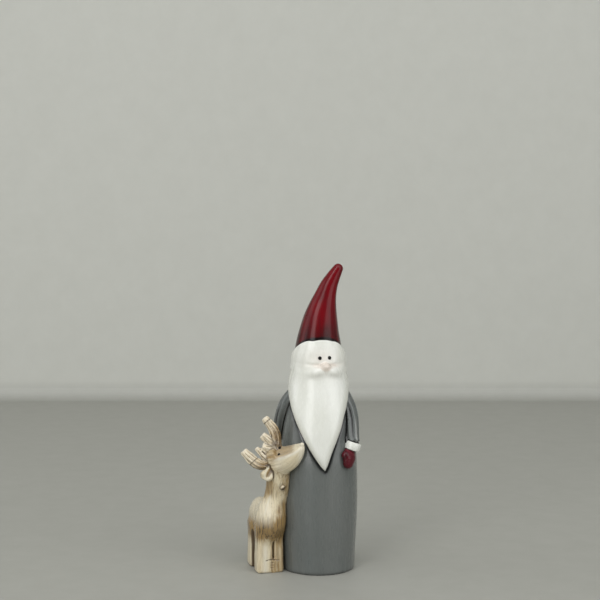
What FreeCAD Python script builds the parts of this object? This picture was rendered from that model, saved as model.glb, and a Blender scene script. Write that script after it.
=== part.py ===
import FreeCAD, Part

import math
import os

# A glazed ceramic tomte with a deer standing against its side, as its separately cast and applied sections.
#
# Millimetres, +Z up, floor at z = 0. The origin is the centre of the tomte's foot, on the floor.
# The tomte faces -Y, so its own left arm is on the +X side. The deer stands on the -X side.
# Every section is cut flush against the sections that it is luted to, so that none overlaps another.

Vector = FreeCAD.Vector
UP = Vector(0, 0, 1)

# The degree of the lofted skins, low enough that they never swing outside their sections.
LOFT_DEGREE = 2

# Half the width of a block that covers the whole figure.
REACH = 60.0

# Driving dimensions of the coat and the neck.
WALL = 4.0
FLOOR_THICKNESS = 3.5
DRAIN_RADIUS = 6.0
WALL_TOP = 94.0
SHOULDER_HEIGHT = 101.0
NECK_RADIUS = 7.0
NECK_TOP = 110.0
NECK_BORE_RADIUS = 4.0
SOCKET_PLAY = 0.1

# Driving dimensions of the head, the hair, the hat and the beard.
FACE_TURN = 14.0
FACE_HALF_WIDTH = 8.2
FACE_BOTTOM = 115.0
NAPE_HEIGHT = 97.0
RIM_HEIGHT = 122.6
RIM_SLOPE = 0.43
RIM_LEAN = 0.065
HAT_WALL = 3.2
PEG_BASE_RADIUS = 8.5
PEG_TOP_RADIUS = 6.0
PEG_TOP = 140.0
VENT_RADIUS = 2.5
EYE_HEIGHT = 118.9
EYE_SPREAD = 2.7
EYE_DEPTH = 13.3
EYE_RADIUS = 0.8
NOSE_HEIGHT = 114.6

# Driving dimensions of the arms.
CUFF_RADIUS = 4.5
CUFF_LENGTH = 4.2
CUFF_ROUNDING = 0.9

# Driving dimensions of the deer. Its trunk is drawn facing -Y about its own centre, then turned and placed.
DEER_CENTRE = Vector(-30.2, -3.0, 0)
DEER_HEADING = 16.0
LEG_HEIGHT = 25.0
LEG_ROUNDNESS = 0.62
TRUNK_ROUNDNESS = 0.82
ANTLER_TENON_RADIUS = 1.3
ANTLER_TENON_LENGTH = 3.5
DEER_EYE_RADIUS = 0.8

# Outlines as (radius, height) pairs.
COAT_SIDE = [
    (20.3, 0.0),
    (20.6, 10.0),
    (21.5, 26.0),
    (21.8, 42.0),
    (21.6, 58.0),
    (20.5, 72.0),
    (18.7, 84.0),
    (16.2, WALL_TOP),
    (13.6, SHOULDER_HEIGHT),
]
SKULL_SIDE = [
    (13.0, SHOULDER_HEIGHT),
    (13.5, 108.0),
    (13.8, 114.0),
    (13.6, 119.0),
    (12.8, 124.5),
    (11.6, 130.0),
]
HAIR_SIDE = [
    (14.6, NAPE_HEIGHT),
    (15.9, 101.5),
    (15.4, 107.0),
    (15.2, 112.0),
    (15.0, 117.0),
    (14.0, 122.0),
    (11.8, 128.0),
]
BEARD_FRONT = [
    (24.2, 56.0),
    (24.4, 66.0),
    (23.6, 78.0),
    (21.6, 89.0),
    (19.0, 99.0),
    (16.8, 107.0),
    (15.6, 112.5),
    (15.0, 116.5),
]

# The beard's outline seen from the front, as (x, height) pairs from its tip up each side.
BEARD_TIP = (3.4, 58.2)
BEARD_LEFT_EDGE = [
    (5.0, 61.6),
    (7.0, 67.5),
    (9.6, 74.0),
    (12.1, 80.5),
    (13.9, 87.0),
    (15.7, 93.5),
    (16.7, 100.0),
]
BEARD_RIGHT_EDGE = [
    (0.9, 61.0),
    (-3.3, 67.2),
    (-7.2, 73.8),
    (-10.7, 80.5),
    (-13.5, 87.0),
    (-15.6, 93.5),
    (-16.7, 100.0),
]
BEARD_CHEEKS = [(15.9, 107.0), (13.2, FACE_BOTTOM + 1.0)]

# One lobe of the moustache, from under the nose outwards, as (x, y, z, radius) stations.
MOUSTACHE_RUN = [
    (0.8, -15.6, 112.8, 1.3),
    (3.0, -16.3, 112.0, 1.9),
    (5.6, -15.8, 110.8, 1.7),
    (7.6, -14.6, 109.3, 1.1),
]

# The hat as (x, height, radius) stations along its curve.
HAT_RUN = [
    (0.0, 117.0, 13.9),
    (-0.1, 124.5, 12.5),
    (0.2, 131.0, 11.1),
    (0.9, 138.0, 9.6),
    (2.0, 144.5, 7.9),
    (3.6, 151.0, 6.2),
    (5.6, 157.3, 4.9),
    (8.2, 162.6, 3.8),
    (10.8, 167.1, 2.8),
]


def spline(points):
    """A smooth edge through 3-D points."""
    curve = Part.BSplineCurve()
    curve.interpolate([Vector(*p) for p in points])
    return curve.toShape()


def polyline(points):
    """Straight edges through 3-D points."""
    corners = [Vector(*p) for p in points]
    return [Part.LineSegment(a, b).toShape() for a, b in zip(corners, corners[1:])]


def profile(points):
    """(radius, height) pairs as points in the XZ plane."""
    return [(r, 0, z) for r, z in points]


def turned(edges):
    """The solid of revolution of a closed outline in the XZ plane about the Z axis."""
    face = Part.Face(Part.Wire(edges))
    return Part.Solid(face.revolve(Vector(0, 0, 0), UP, 360))


def turned_core(points):
    """A full solid of revolution whose side is a smooth curve through (radius, height) pairs."""
    (r0, z0), (r1, z1) = points[0], points[-1]
    ends = polyline([(r1, 0, z1), (0, 0, z1), (0, 0, z0), (r0, 0, z0)])
    return turned([spline(profile(points))] + ends)


def ring(centre, normal, across, wide, high, roundness=1.0):
    """A closed oval wire square to normal, half-width wide along across; a low roundness squares it off."""
    side = (across - normal * across.dot(normal)).normalize()
    rise = normal.cross(side)
    count = 16
    points = []
    for step in range(count):
        angle = 2 * math.pi * step / count
        u, v = (math.copysign(abs(w) ** roundness, w) for w in (math.cos(angle), math.sin(angle)))
        points.append(centre + side * (wide * u) + rise * (high * v))
    curve = Part.BSplineCurve()
    curve.interpolate(points, True)
    return Part.Wire(curve.toShape())


def limb(stations, across, round_start=False, round_end=False, roundness=1.0):
    """A solid through (x, y, z, half-width, half-height) stations. One half-size makes a round section."""
    across = Vector(*across)
    centres = [Vector(*s[:3]) for s in stations]
    sizes = [s[3:] if len(s) == 5 else (s[3], s[3]) for s in stations]
    last = len(centres) - 1
    runs = [(centres[min(i + 1, last)] - centres[max(i - 1, 0)]).normalize() for i in range(last + 1)]
    wires = [ring(c, n, across, *s, roundness) for c, n, s in zip(centres, runs, sizes)]
    for wanted, end, sign in ((round_start, 0, -1), (round_end, last, 1)):
        if not wanted:
            continue
        cap = []
        for ahead, share in ((0.5, 0.87), (0.82, 0.57), (0.96, 0.25)):
            centre = centres[end] + runs[end] * (sign * ahead * min(sizes[end]))
            cap.append(ring(centre, runs[end], across, *(v * share for v in sizes[end]), roundness))
        wires = wires + cap if sign > 0 else cap[::-1] + wires
    return Part.makeLoft(wires, True, False, False, LOFT_DEGREE)


def egg(centre, radii, turn=0.0):
    """An ellipsoid with three half-axes, turned about Z by an angle in degrees."""
    matrix = FreeCAD.Matrix()
    matrix.scale(*radii)
    shape = Part.makeSphere(1.0).transformGeometry(matrix)
    shape.rotate(Vector(0, 0, 0), UP, turn)
    shape.translate(Vector(*centre))
    return shape


def around(angle, radius, height):
    """A point at an angle in degrees from the tomte's front, positive towards +X."""
    a = math.radians(angle)
    return (radius * math.sin(a), -radius * math.cos(a), height)


def cut_by(shape, others):
    """A shape less each of the others."""
    for other in others:
        shape = shape.cut(other)
    return shape


def on_surface(shape, point):
    """The point of a shape's surface that is nearest to a given point."""
    return shape.Shells[0].distToShape(Part.Vertex(*point))[1][0][0]


def layer(low, high):
    """A block that covers the whole plan between two heights."""
    return Part.makeBox(2 * REACH, 2 * REACH, high - low).translated(Vector(-REACH, -REACH, low))


def above_rim():
    """Everything above the plane of the hat's rim, which rises to the forehead and a little to the left."""
    tilt = FreeCAD.Rotation(UP, Vector(-RIM_LEAN, RIM_SLOPE, 1))
    block = layer(0, REACH)
    block.Placement = FreeCAD.Placement(Vector(0, 0, RIM_HEIGHT), tilt).multiply(block.Placement)
    return block


# The tomte.


def coat_sections():
    """The hollow coat in three: its wall, its floor with the drain hole, and its shoulders with the neck."""
    inside = [(r - WALL, z) for r, z in COAT_SIDE[1:-1]]
    inside.insert(0, (COAT_SIDE[0][0] - WALL, FLOOR_THICKNESS))
    outer = spline(profile(COAT_SIDE))
    inner = spline(profile(inside[::-1]))
    neck = [
        COAT_SIDE[-1],
        (NECK_RADIUS, SHOULDER_HEIGHT),
        (NECK_RADIUS, NECK_TOP),
        (NECK_BORE_RADIUS, NECK_TOP),
        (NECK_BORE_RADIUS, SHOULDER_HEIGHT - WALL / 2),
        inside[-1],
    ]
    floor = [inside[0], (DRAIN_RADIUS, FLOOR_THICKNESS), (DRAIN_RADIUS, 0.0), COAT_SIDE[0]]
    whole = turned([outer] + polyline(profile(neck)) + [inner] + polyline(profile(floor)))
    return {
        "coat": whole.common(layer(FLOOR_THICKNESS, WALL_TOP)),
        "coat_floor": whole.common(layer(0, FLOOR_THICKNESS)),
        "neck": whole.common(layer(WALL_TOP, NECK_TOP)),
    }


def crown_peg():
    """The tapered peg on top of the head that the hat is seated on."""
    start = RIM_HEIGHT - 6.0
    return Part.makeCone(PEG_BASE_RADIUS, PEG_TOP_RADIUS, PEG_TOP - start, Vector(0, 0, start))


def head(skull):
    """The head: a socket for the neck below, the hat's peg above, and a vent through both."""
    socket_top = NECK_TOP + SOCKET_PLAY
    bottom = Vector(0, 0, SHOULDER_HEIGHT)
    socket = Part.makeCylinder(NECK_RADIUS + SOCKET_PLAY, socket_top - SHOULDER_HEIGHT, bottom)
    vent = Part.makeCylinder(VENT_RADIUS, PEG_TOP - SHOULDER_HEIGHT, bottom)
    return skull.cut(above_rim()).fuse(crown_peg()).cut(socket).cut(vent)


def hat():
    """The hollow hat, which ends at the sloping rim and has its mouth filled by the head's peg."""
    form = limb([(x, 0, z, r) for x, z, r in HAT_RUN], (0, 1, 0), round_end=True)
    hollow = limb([(x, 0, z, r - HAT_WALL) for x, z, r in HAT_RUN[3:-2]], (0, 1, 0))
    return form.common(above_rim()).cut(crown_peg()).cut(hollow)


def hair(skull, coat_form):
    """The hair round the sides and back of the head, open in front for the face and the beard."""
    form = turned_core(HAIR_SIDE).cut(above_rim())
    deep, tall = 40.0, 80.0
    corner = Vector(-FACE_HALF_WIDTH, -deep, FACE_BOTTOM - tall / 2)
    face = Part.makeBox(2 * FACE_HALF_WIDTH, deep, tall, corner)
    face.rotate(Vector(0, 0, 0), UP, FACE_TURN)
    chest = Part.makeBox(2 * deep, deep, FACE_BOTTOM - 1.0 - 60.0, Vector(-deep, -deep - 3.0, 60.0))
    return cut_by(form, [face, chest, skull, coat_form])


def beard(skull, coat_form, hair_solid):
    """The long pointed beard: a raised slab with the outline of a drop, laid over the chest."""
    left = [BEARD_TIP] + BEARD_LEFT_EDGE + BEARD_CHEEKS
    right = [BEARD_TIP] + BEARD_RIGHT_EDGE + [(-x, z) for x, z in BEARD_CHEEKS]
    middle = (math.sin(math.radians(FACE_TURN)) * SKULL_SIDE[2][0], FACE_BOTTOM - 1.5)
    runs = [left, [left[-1], middle, right[-1]], right[::-1]]
    edges = [spline(profile(run)) for run in runs]
    drop = Part.Face(Part.Wire(edges)).extrude(Vector(0, -40.0, 0))
    return drop.common(turned_core(BEARD_FRONT)).cut(skull).cut(coat_form).cut(hair_solid)


def face_features(skull, beard_solid):
    """The moustache, the nose and the eyes, all turned a little to the tomte's left."""
    made = {}
    for name, side in (("left", 1), ("right", -1)):
        lobe = limb([(side * x, y, z, r) for x, y, z, r in MOUSTACHE_RUN], (0, 1, 0), round_end=True)
        made[f"{name}_moustache"] = lobe
        made[f"{name}_eye"] = Part.makeSphere(EYE_RADIUS, Vector(side * EYE_SPREAD, -EYE_DEPTH, EYE_HEIGHT))
    made["nose"] = egg((0, -15.0, NOSE_HEIGHT), (2.6, 2.5, 2.1))
    for shape in made.values():
        shape.rotate(Vector(0, 0, 0), UP, FACE_TURN)
    made["left_moustache"] = made["left_moustache"].cut(made["right_moustache"])
    made["nose"] = cut_by(made["nose"], [made["left_moustache"], made["right_moustache"]])
    return {name: cut_by(shape, [skull, beard_solid]) for name, shape in made.items()}


# Each arm: its sleeve from shoulder to wrist, the middle and direction of its cuff, its palm and its thumb.
ARMS = {
    "left": {
        "sleeve": [
            (84, 13.0, 97.2, 4.6),
            (79, 15.8, 91.5, 4.9),
            (71, 18.3, 84.0, 4.7),
            (60, 20.6, 74.5, 4.4),
        ],
        "cuff": (56.5, 22.2, 70.3),
        "along": (-0.32, -0.12, -0.94),
        "palm": [(51.0, 22.3, 68.4, 4.0, 2.5), (46.8, 22.9, 64.6, 4.3, 2.8), (44.2, 22.9, 61.0, 3.2, 2.4)],
        "thumb": [(44.0, 22.3, 64.6, 1.7), (37.8, 22.3, 67.2, 1.6)],
    },
    "right": {
        "sleeve": [
            (-88, 13.2, 97.2, 4.6),
            (-93, 17.0, 91.5, 4.9),
            (-98, 19.9, 83.0, 4.7),
            (-101, 21.2, 73.5, 4.3),
        ],
        "cuff": (-102, 22.0, 69.5),
        "along": (0.04, -0.22, -0.97),
        "palm": [(-100, 22.2, 67.6, 3.4, 2.4), (-98, 22.4, 63.6, 3.9, 2.7), (-96, 22.3, 60.0, 3.0, 2.3)],
        "thumb": [(-92.5, 22.2, 63.4, 1.5), (-88.5, 22.3, 65.6, 1.5)],
    },
}


def arm(name):
    """A sleeve, its cuff and its mitten, each ending at the one before it."""
    spec = ARMS[name]
    along = Vector(*spec["along"]).normalize()
    middle = Vector(*around(*spec["cuff"]))
    cuff = Part.makeCylinder(CUFF_RADIUS, CUFF_LENGTH, middle - along * (CUFF_LENGTH / 2), along)
    cuff = cuff.makeFillet(CUFF_ROUNDING, [e for e in cuff.Edges if len(e.Vertexes) == 1])
    sleeve_run = [(*around(*s[:3]), s[3]) for s in spec["sleeve"]]
    sleeve_run.append((*(middle - along * 1.0), CUFF_RADIUS - 0.5))
    sleeve = limb(sleeve_run, (0, 1, 0), round_start=True)
    outwards = Vector(*around(spec["cuff"][0], 1.0, 0.0))
    palm = limb([(*around(*s[:3]), *s[3:]) for s in spec["palm"]], tuple(outwards.cross(UP)), True, True)
    thumb = limb([(*around(*s[:3]), s[3]) for s in spec["thumb"]], tuple(outwards), True, True)
    mitten = palm.fuse(thumb).cut(cuff)
    return {f"{name}_sleeve": sleeve.cut(cuff), f"{name}_cuff": cuff, f"{name}_mitten": mitten}


def tomte_sections():
    """Every section of the tomte by name."""
    coat_form, skull = turned_core(COAT_SIDE), turned_core(SKULL_SIDE)
    made = coat_sections()
    made.update({"head": head(skull), "hat": hat()})
    made["hair"] = hair(skull, coat_form)
    made["beard"] = beard(skull, coat_form, made["hair"])
    made.update(face_features(skull, made["beard"]))
    skins = [coat_form, skull, made["beard"], made["hair"]]
    for name in ARMS:
        made.update({piece: cut_by(shape, skins) for piece, shape in arm(name).items()})
    return made


# The deer's trunk and legs, about its own centre.

TRUNK_RUN = [
    (0.4, 12.5, 27.4, 5.8, 9.2),
    (0.4, 8.5, 27.8, 6.6, 10.5),
    (0.4, 2.0, 27.4, 6.6, 10.2),
    (0.6, -4.0, 28.0, 6.8, 10.6),
    (0.8, -8.4, 28.6, 6.9, 11.0),
    (0.8, -11.4, 28.8, 6.2, 9.2),
]
LEGS = {
    "front_left": (5.4, -7.6, 2.9, 4.8),
    "front_right": (-2.4, -7.6, 4.5, 4.8),
    "rear_left": (4.1, 7.4, 3.6, 5.0),
    "rear_right": (-3.4, 7.4, 3.6, 5.0),
}
TAIL_RUN = [(0.0, 14.5, 31.0, 1.6, 1.4), (0.0, 18.2, 31.4, 2.0, 1.4), (0.0, 21.0, 29.6, 1.3, 0.9)]

# The deer's neck, head and everything on it, in the figure's own position.

NECK_RUN = [
    (-25.2, -9.0, 31.0, 6.0, 7.0),
    (-23.8, -9.8, 39.0, 5.9, 6.6),
    (-22.5, -11.6, 46.5, 6.6, 6.4),
    (-22.0, -13.8, 54.0, 6.2, 5.8),
    (-21.4, -15.6, 60.0, 5.0, 5.0),
]
HEAD_RUN = [
    (-24.0, -14.2, 62.6, 4.9, 6.4),
    (-20.9, -16.4, 63.6, 5.6, 8.0),
    (-17.2, -18.6, 65.2, 5.3, 7.5),
    (-14.0, -20.4, 67.6, 4.5, 6.0),
    (-11.6, -21.7, 70.2, 3.4, 4.3),
    (-10.5, -22.3, 71.6, 2.5, 3.1),
]
HEAD_ACROSS = (-0.4, -0.9, 0.0)

# The flat top of the head, through both eyes and the muzzle.
DEER_EYES = {"left": (-21.5, -14.6, 69.3), "right": (-21.6, -20.0, 67.0)}
MUZZLE = (-8.6, -23.4, 73.2)
ANTLERS = {
    "left": {
        "tenon": [(-24.0, -12.6, 71.0), (-22.8, -14.6, 64.0)],
        "beam": [
            (-24.4, -12.8, 67.0, 3.2),
            (-23.4, -11.8, 73.0, 2.9),
            (-24.9, -10.9, 79.4, 2.7),
            (-29.8, -9.7, 85.6, 1.9),
        ],
        "tines": [
            [(-23.6, -12.4, 70.6, 2.6), (-27.2, -12.2, 73.2, 2.5), (-31.0, -12.0, 76.4, 1.8)],
            [(-24.4, -13.0, 69.2, 2.2), (-28.0, -13.2, 68.8, 2.0), (-31.0, -13.4, 69.4, 1.8)],
        ],
    },
    "right": {
        "tenon": [(-29.6, -15.2, 60.8), (-23.0, -15.2, 62.0)],
        "beam": [
            (-25.6, -15.6, 61.8, 2.4),
            (-30.6, -15.2, 60.3, 2.7),
            (-35.6, -14.2, 62.2, 2.8),
            (-41.2, -12.8, 67.8, 2.1),
        ],
        "tines": [[(-27.6, -15.0, 63.2, 1.7), (-30.8, -14.2, 66.0, 1.7), (-34.2, -13.4, 69.4, 1.3)]],
    },
}
EARS = {
    "left": [
        (-23.2, -11.2, 61.8, 1.2, 0.9),
        (-24.6, -9.4, 59.8, 2.6, 1.0),
        (-26.0, -7.8, 56.8, 3.2, 1.0),
        (-26.6, -7.2, 54.8, 2.3, 0.8),
    ],
    "right": [
        (-25.6, -17.8, 60.4, 1.2, 0.9),
        (-26.9, -19.0, 58.2, 2.9, 1.1),
        (-28.4, -19.4, 55.4, 3.6, 1.1),
        (-29.2, -19.2, 53.6, 2.6, 0.9),
    ],
}
EAR_ACROSS = {"left": (0.6, 0.7, 0.1), "right": (0.86, -0.1, -0.45)}


def placed(shape):
    """A section drawn about the deer's own centre, in the place where the deer stands."""
    shape.rotate(Vector(0, 0, 0), UP, DEER_HEADING)
    shape.translate(DEER_CENTRE)
    return shape


def deer_leg(x, y, wide, deep):
    """A straight, slightly tapered leg from its hoof into the trunk."""
    stations = [
        (x, y, 0.0, wide - 0.5, deep - 0.5),
        (x, y, 1.4, wide, deep),
        (x, y, 8.0, wide - 0.1, deep),
        (x, y, 16.0, wide - 0.2, deep - 0.2),
        (x * 0.97, y, LEG_HEIGHT, wide - 0.3, deep - 0.2),
    ]
    return placed(limb(stations, (1, 0, 0), roundness=LEG_ROUNDNESS))


def antler(spec, blockers):
    """One antler: a thick lopped beam, its side tines, and the tenon that goes into the skull."""
    solid = limb(spec["beam"], (0, 1, 0), round_start=True)
    for tine in spec["tines"]:
        solid = solid.fuse(limb(tine, (0, 1, 0)))
    return cut_by(solid, blockers).fuse(tenon(spec))


def tenon(spec):
    """The round pin of an antler, from inside its beam into the skull."""
    start, towards = (Vector(*p) for p in spec["tenon"])
    return Part.makeCylinder(ANTLER_TENON_RADIUS, ANTLER_TENON_LENGTH, start, towards - start)


def over_crown():
    """A block whose underside is the flat top of the deer's head, from behind the eyes to past the muzzle."""
    near, far, muzzle = Vector(*DEER_EYES["right"]), Vector(*DEER_EYES["left"]), Vector(*MUZZLE)
    across = far - near
    normal = (muzzle - near).cross(across).normalize()
    if normal.z < 0:
        normal = -normal
    along = (muzzle - near).normalize()
    block = Part.makeBox(26, 30, 12, Vector(-1.6, -15, 0))
    block.Placement = FreeCAD.Placement(near, FreeCAD.Rotation(along, Vector(), normal, "ZXY"))
    return block


def deer_sections(tomte):
    """Every section of the deer by name, cut flush with the tomte's side."""
    trunk = placed(limb(TRUNK_RUN, (1, 0, 0), True, True, TRUNK_ROUNDNESS))
    neck_form = limb(NECK_RUN, (1, 0, 0), round_end=True)
    head_form = limb(HEAD_RUN, HEAD_ACROSS, round_start=True, round_end=True).cut(over_crown())
    pins = [tenon(spec) for spec in ANTLERS.values()]
    made = {
        "deer_body": trunk,
        "deer_neck": cut_by(neck_form, [trunk, head_form] + pins),
        "deer_head": cut_by(head_form, pins),
        "deer_tail": placed(limb(TAIL_RUN, (1, 0, 0), round_end=True)).cut(trunk),
    }
    for side in ("left", "right"):
        made[f"deer_{side}_antler"] = antler(ANTLERS[side], [head_form, neck_form])
        leaf = limb(EARS[side], EAR_ACROSS[side], round_end=True)
        made[f"deer_{side}_ear"] = cut_by(leaf, [head_form, neck_form, made[f"deer_{side}_antler"]])
    for side, near in DEER_EYES.items():
        eye = Part.makeSphere(DEER_EYE_RADIUS, on_surface(head_form, near))
        made[f"deer_{side}_eye"] = eye.cut(head_form)
    made["deer_nose"] = Part.makeSphere(1.3, on_surface(head_form, (-9.2, -23.2, 73.0))).cut(head_form)
    made["deer_neck_knot"] = Part.makeSphere(1.2, on_surface(neck_form, (-19.6, -18.6, 48.4))).cut(neck_form)
    for name, sizes in LEGS.items():
        made[f"deer_{name}_leg"] = deer_leg(*sizes).cut(trunk)
    beside = ("beard", "right_mitten", "right_cuff", "right_sleeve")
    sides = [turned_core(COAT_SIDE)] + [tomte[name] for name in beside]
    return {name: cut_by(shape, sides) for name, shape in made.items()}


def main():
    """Write every section to its own file."""
    os.makedirs("parts", exist_ok=True)
    sections = tomte_sections()
    sections.update(deer_sections(sections))
    for name, shape in sections.items():
        box = shape.optimalBoundingBox()
        low, high = [box.XMin, box.YMin, box.ZMin], [box.XMax, box.YMax, box.ZMax]
        spans = " ".join(f"{a:.1f}..{b:.1f}" for a, b in zip(low, high))
        volume = shape.Volume / 1000
        print(f"{name}: {len(shape.Solids)} solid, {volume:.2f} cm3, valid {shape.isValid()}, {spans}")
        whole = shape.Solids[0] if len(shape.Solids) == 1 else shape
        whole.exportStep(f"parts/{name}.step")


main()
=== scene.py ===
import math

import bpy
import numpy as np
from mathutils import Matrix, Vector


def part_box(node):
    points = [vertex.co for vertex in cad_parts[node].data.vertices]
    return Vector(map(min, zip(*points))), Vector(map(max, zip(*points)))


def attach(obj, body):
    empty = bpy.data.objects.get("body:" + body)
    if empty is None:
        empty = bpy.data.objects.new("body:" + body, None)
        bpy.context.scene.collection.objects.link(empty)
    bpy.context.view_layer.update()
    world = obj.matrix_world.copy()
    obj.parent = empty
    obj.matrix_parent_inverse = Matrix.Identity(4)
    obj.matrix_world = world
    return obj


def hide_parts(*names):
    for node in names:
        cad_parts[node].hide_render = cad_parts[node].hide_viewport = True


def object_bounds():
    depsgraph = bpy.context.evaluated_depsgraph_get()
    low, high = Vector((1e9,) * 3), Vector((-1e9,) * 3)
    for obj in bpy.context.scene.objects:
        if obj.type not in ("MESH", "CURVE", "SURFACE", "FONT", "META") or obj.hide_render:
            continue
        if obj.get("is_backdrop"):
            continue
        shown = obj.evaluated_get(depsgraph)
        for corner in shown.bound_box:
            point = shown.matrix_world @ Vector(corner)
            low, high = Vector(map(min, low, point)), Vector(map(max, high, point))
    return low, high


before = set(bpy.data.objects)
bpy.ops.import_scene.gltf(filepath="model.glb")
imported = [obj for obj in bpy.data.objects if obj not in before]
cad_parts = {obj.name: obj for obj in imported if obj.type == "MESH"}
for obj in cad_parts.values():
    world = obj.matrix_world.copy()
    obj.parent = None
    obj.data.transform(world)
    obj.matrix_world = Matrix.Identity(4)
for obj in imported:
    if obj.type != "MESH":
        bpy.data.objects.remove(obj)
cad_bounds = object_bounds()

# A glazed ceramic tomte with a deer, modelled around its CAD frame.
#
# Shapes are worked out in millimetres about the middle of the tomte's foot, as fields: functions that
# give the distance of points to a surface, below zero inside it. A field is skinned to a mesh, and the
# mesh is put in metres.

MM = 0.001
COAT_LOW, COAT_HIGH = (np.array(corner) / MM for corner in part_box("coat"))
FOOT = np.append((COAT_LOW[:2] + COAT_HIGH[:2]) / 2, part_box("coat_floor")[0][2] / MM)
SIDES = ("left", "right")


# ---------------------------------------------------------------- fields


def smooth_min(a, b, k):
    """The nearer of two surfaces, with a fillet about k wide where they meet."""
    h = np.maximum(k - np.abs(a - b), 0.0) / k
    return np.minimum(a, b) - h * h * k * 0.25


def smooth_max(a, b, k):
    """What two solids share, with edges rounded over about k."""
    return -smooth_min(-a, -b, k)


def step_up(x, low, high):
    """0 up to low, 1 from high, and smooth between. It falls where high is the lower."""
    t = np.clip((x - low) / (high - low), 0.0, 1.0)
    return t * t * (3 - 2 * t)


def step_down(x, low, high):
    """1 up to low, 0 from high, and smooth between."""
    return 1 - step_up(x, low, high)


def plateau(x, low, full, fade, high):
    """0 up to low, 1 from full to fade, 0 from high."""
    return step_up(x, low, full) * step_down(x, fade, high)


def bell(x, width):
    """1 at zero, falling away on both sides."""
    return np.exp(-((x / width) ** 2))


def bell_at(P, centre, widths):
    """1 at a point, falling away on all sides."""
    return np.exp(-0.5 * (((P - np.array(centre)) / np.array(widths)) ** 2).sum(1))


def smooth_line(points, per=6):
    """More rows along a smooth line through the given rows."""
    p = np.array(points, float)
    rows = []
    for i in range(len(p) - 1):
        a, b, c, d = p[max(i - 1, 0)], p[i], p[i + 1], p[min(i + 2, len(p) - 1)]
        for t in np.arange(per) / per:
            cubic = (3 * b - a - 3 * c + d) * t**3
            rows.append(0.5 * (2 * b + (c - a) * t + (2 * a - 5 * b + 4 * c - d) * t**2 + cubic))
    rows.append(p[-1])
    return np.array(rows)


def oval(P, centre, radii):
    """An ellipsoid."""
    q = P - np.array(centre)
    r = np.array(radii)
    k0 = np.linalg.norm(q / r, axis=1)
    k1 = np.linalg.norm(q / (r * r), axis=1)
    return k0 * (k0 - 1.0) / np.maximum(k1, 1e-6)


def turned(P, profile):
    """A solid of revolution about +Z from (radius, height) pairs, open above and below."""
    line = smooth_line(profile)
    order = np.argsort(line[:, 1])
    return np.hypot(P[:, 0], P[:, 1]) - np.interp(P[:, 2], line[order, 1], line[order, 0])


def outline(U, V, polygon):
    """Distance to a closed polygon in a plane, below zero inside."""
    best = np.full(len(U), 1e9)
    inside = np.zeros(len(U), bool)
    for (x0, y0), (x1, y1) in zip(polygon, np.roll(polygon, -1, axis=0)):
        dx, dy = x1 - x0, y1 - y0
        t = np.clip(((U - x0) * dx + (V - y0) * dy) / (dx * dx + dy * dy + 1e-12), 0, 1)
        best = np.minimum(best, (U - x0 - t * dx) ** 2 + (V - y0 - t * dy) ** 2)
        crosses = (y0 > V) != (y1 > V)
        inside ^= crosses & ((dx * (V - y0) - dy * (U - x0)) * np.sign(dy) > 0)
    return np.where(inside, -1, 1) * np.sqrt(best)


def bumps(P, scale, seed):
    """Soft unevenness between about -1 and 1, from a few waves in seeded directions."""
    rng = np.random.default_rng(seed)
    total = np.zeros(len(P))
    for octave in range(3):
        for _ in range(4):
            direction = rng.normal(size=3)
            direction *= 2 * math.pi * 1.7**octave / scale / np.linalg.norm(direction)
            total += np.sin(P @ direction + rng.uniform(0, 6.3)) * 0.6**octave
    return total / 4.0


class Limb:
    """A swept oval through (x, y, z, half-width, half-height) stations."""

    margin = 7.0
    end_rounding = 0.7

    def __init__(self, stations, across, per=4, flat_end=False):
        rows = [row if len(row) == 5 else (*row, row[3]) for row in stations]
        self.rows = smooth_line(rows, per)
        self.flat_end = flat_end
        self.spans = []
        run = 0.0
        for a, b in zip(self.rows, self.rows[1:]):
            along = b[:3] - a[:3]
            length = np.linalg.norm(along)
            along = along / length
            side = np.array(across, float)
            side -= along * side.dot(along)
            side /= np.linalg.norm(side)
            self.spans.append((a[:3], along, side, np.cross(along, side), length, a[3:], b[3:], run))
            run += length
        reach = self.rows[:, 3:].max(1)[:, None]
        low = (self.rows[:, :3] - reach).min(0)
        high = (self.rows[:, :3] + reach).max(0)
        self.middle = (low + high) / 2
        self.half = (high - low) / 2

    def field(self, P):
        gap = np.linalg.norm(np.maximum(np.abs(P - self.middle) - self.half, 0), axis=1)
        near = gap < self.margin
        out = gap
        if near.any():
            out[near] = self.close_field(P[near])
        return out

    def close_field(self, P):
        best = np.full(len(P), 1e3)
        for start, along, side, rise, length, first, last, _ in self.spans:
            q = P - start
            a = q @ along
            t = np.clip(a, 0, length)
            size = first + (last - first) * (t / length)[:, None]
            wide, high = size[:, 0], size[:, 1]
            cap = np.minimum(wide, high)
            u, v, w = q @ side, q @ rise, a - t
            k0 = np.sqrt((u / wide) ** 2 + (v / high) ** 2 + (w / cap) ** 2)
            k1 = np.sqrt((u / wide**2) ** 2 + (v / high**2) ** 2 + (w / cap**2) ** 2)
            best = np.minimum(best, k0 * (k0 - 1.0) / np.maximum(k1, 1e-6))
        if self.flat_end:
            best = smooth_max(best, self.past_end(P), self.end_rounding)
        return best

    def past_end(self, P):
        """How far a point is past the plane of the limb's end."""
        start, along, _, _, length = self.spans[-1][:5]
        return (P - start) @ along - length

    def grain(self, P):
        """How far along the limb a point is, and how far round it."""
        best = np.full(len(P), 1e9)
        out = np.zeros((len(P), 2))
        radius = self.rows[:, 3:].mean()
        for start, along, side, rise, length, _, _, run in self.spans:
            q = P - start
            t = np.clip(q @ along, 0, length)
            d = np.linalg.norm(q - t[:, None] * along, axis=1)
            closer = d < best
            best[closer] = d[closer]
            out[closer] = np.stack([run + t, np.arctan2(q @ rise, q @ side) * radius], 1)[closer]
        return out


# ---------------------------------------------------------------- meshes


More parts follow.
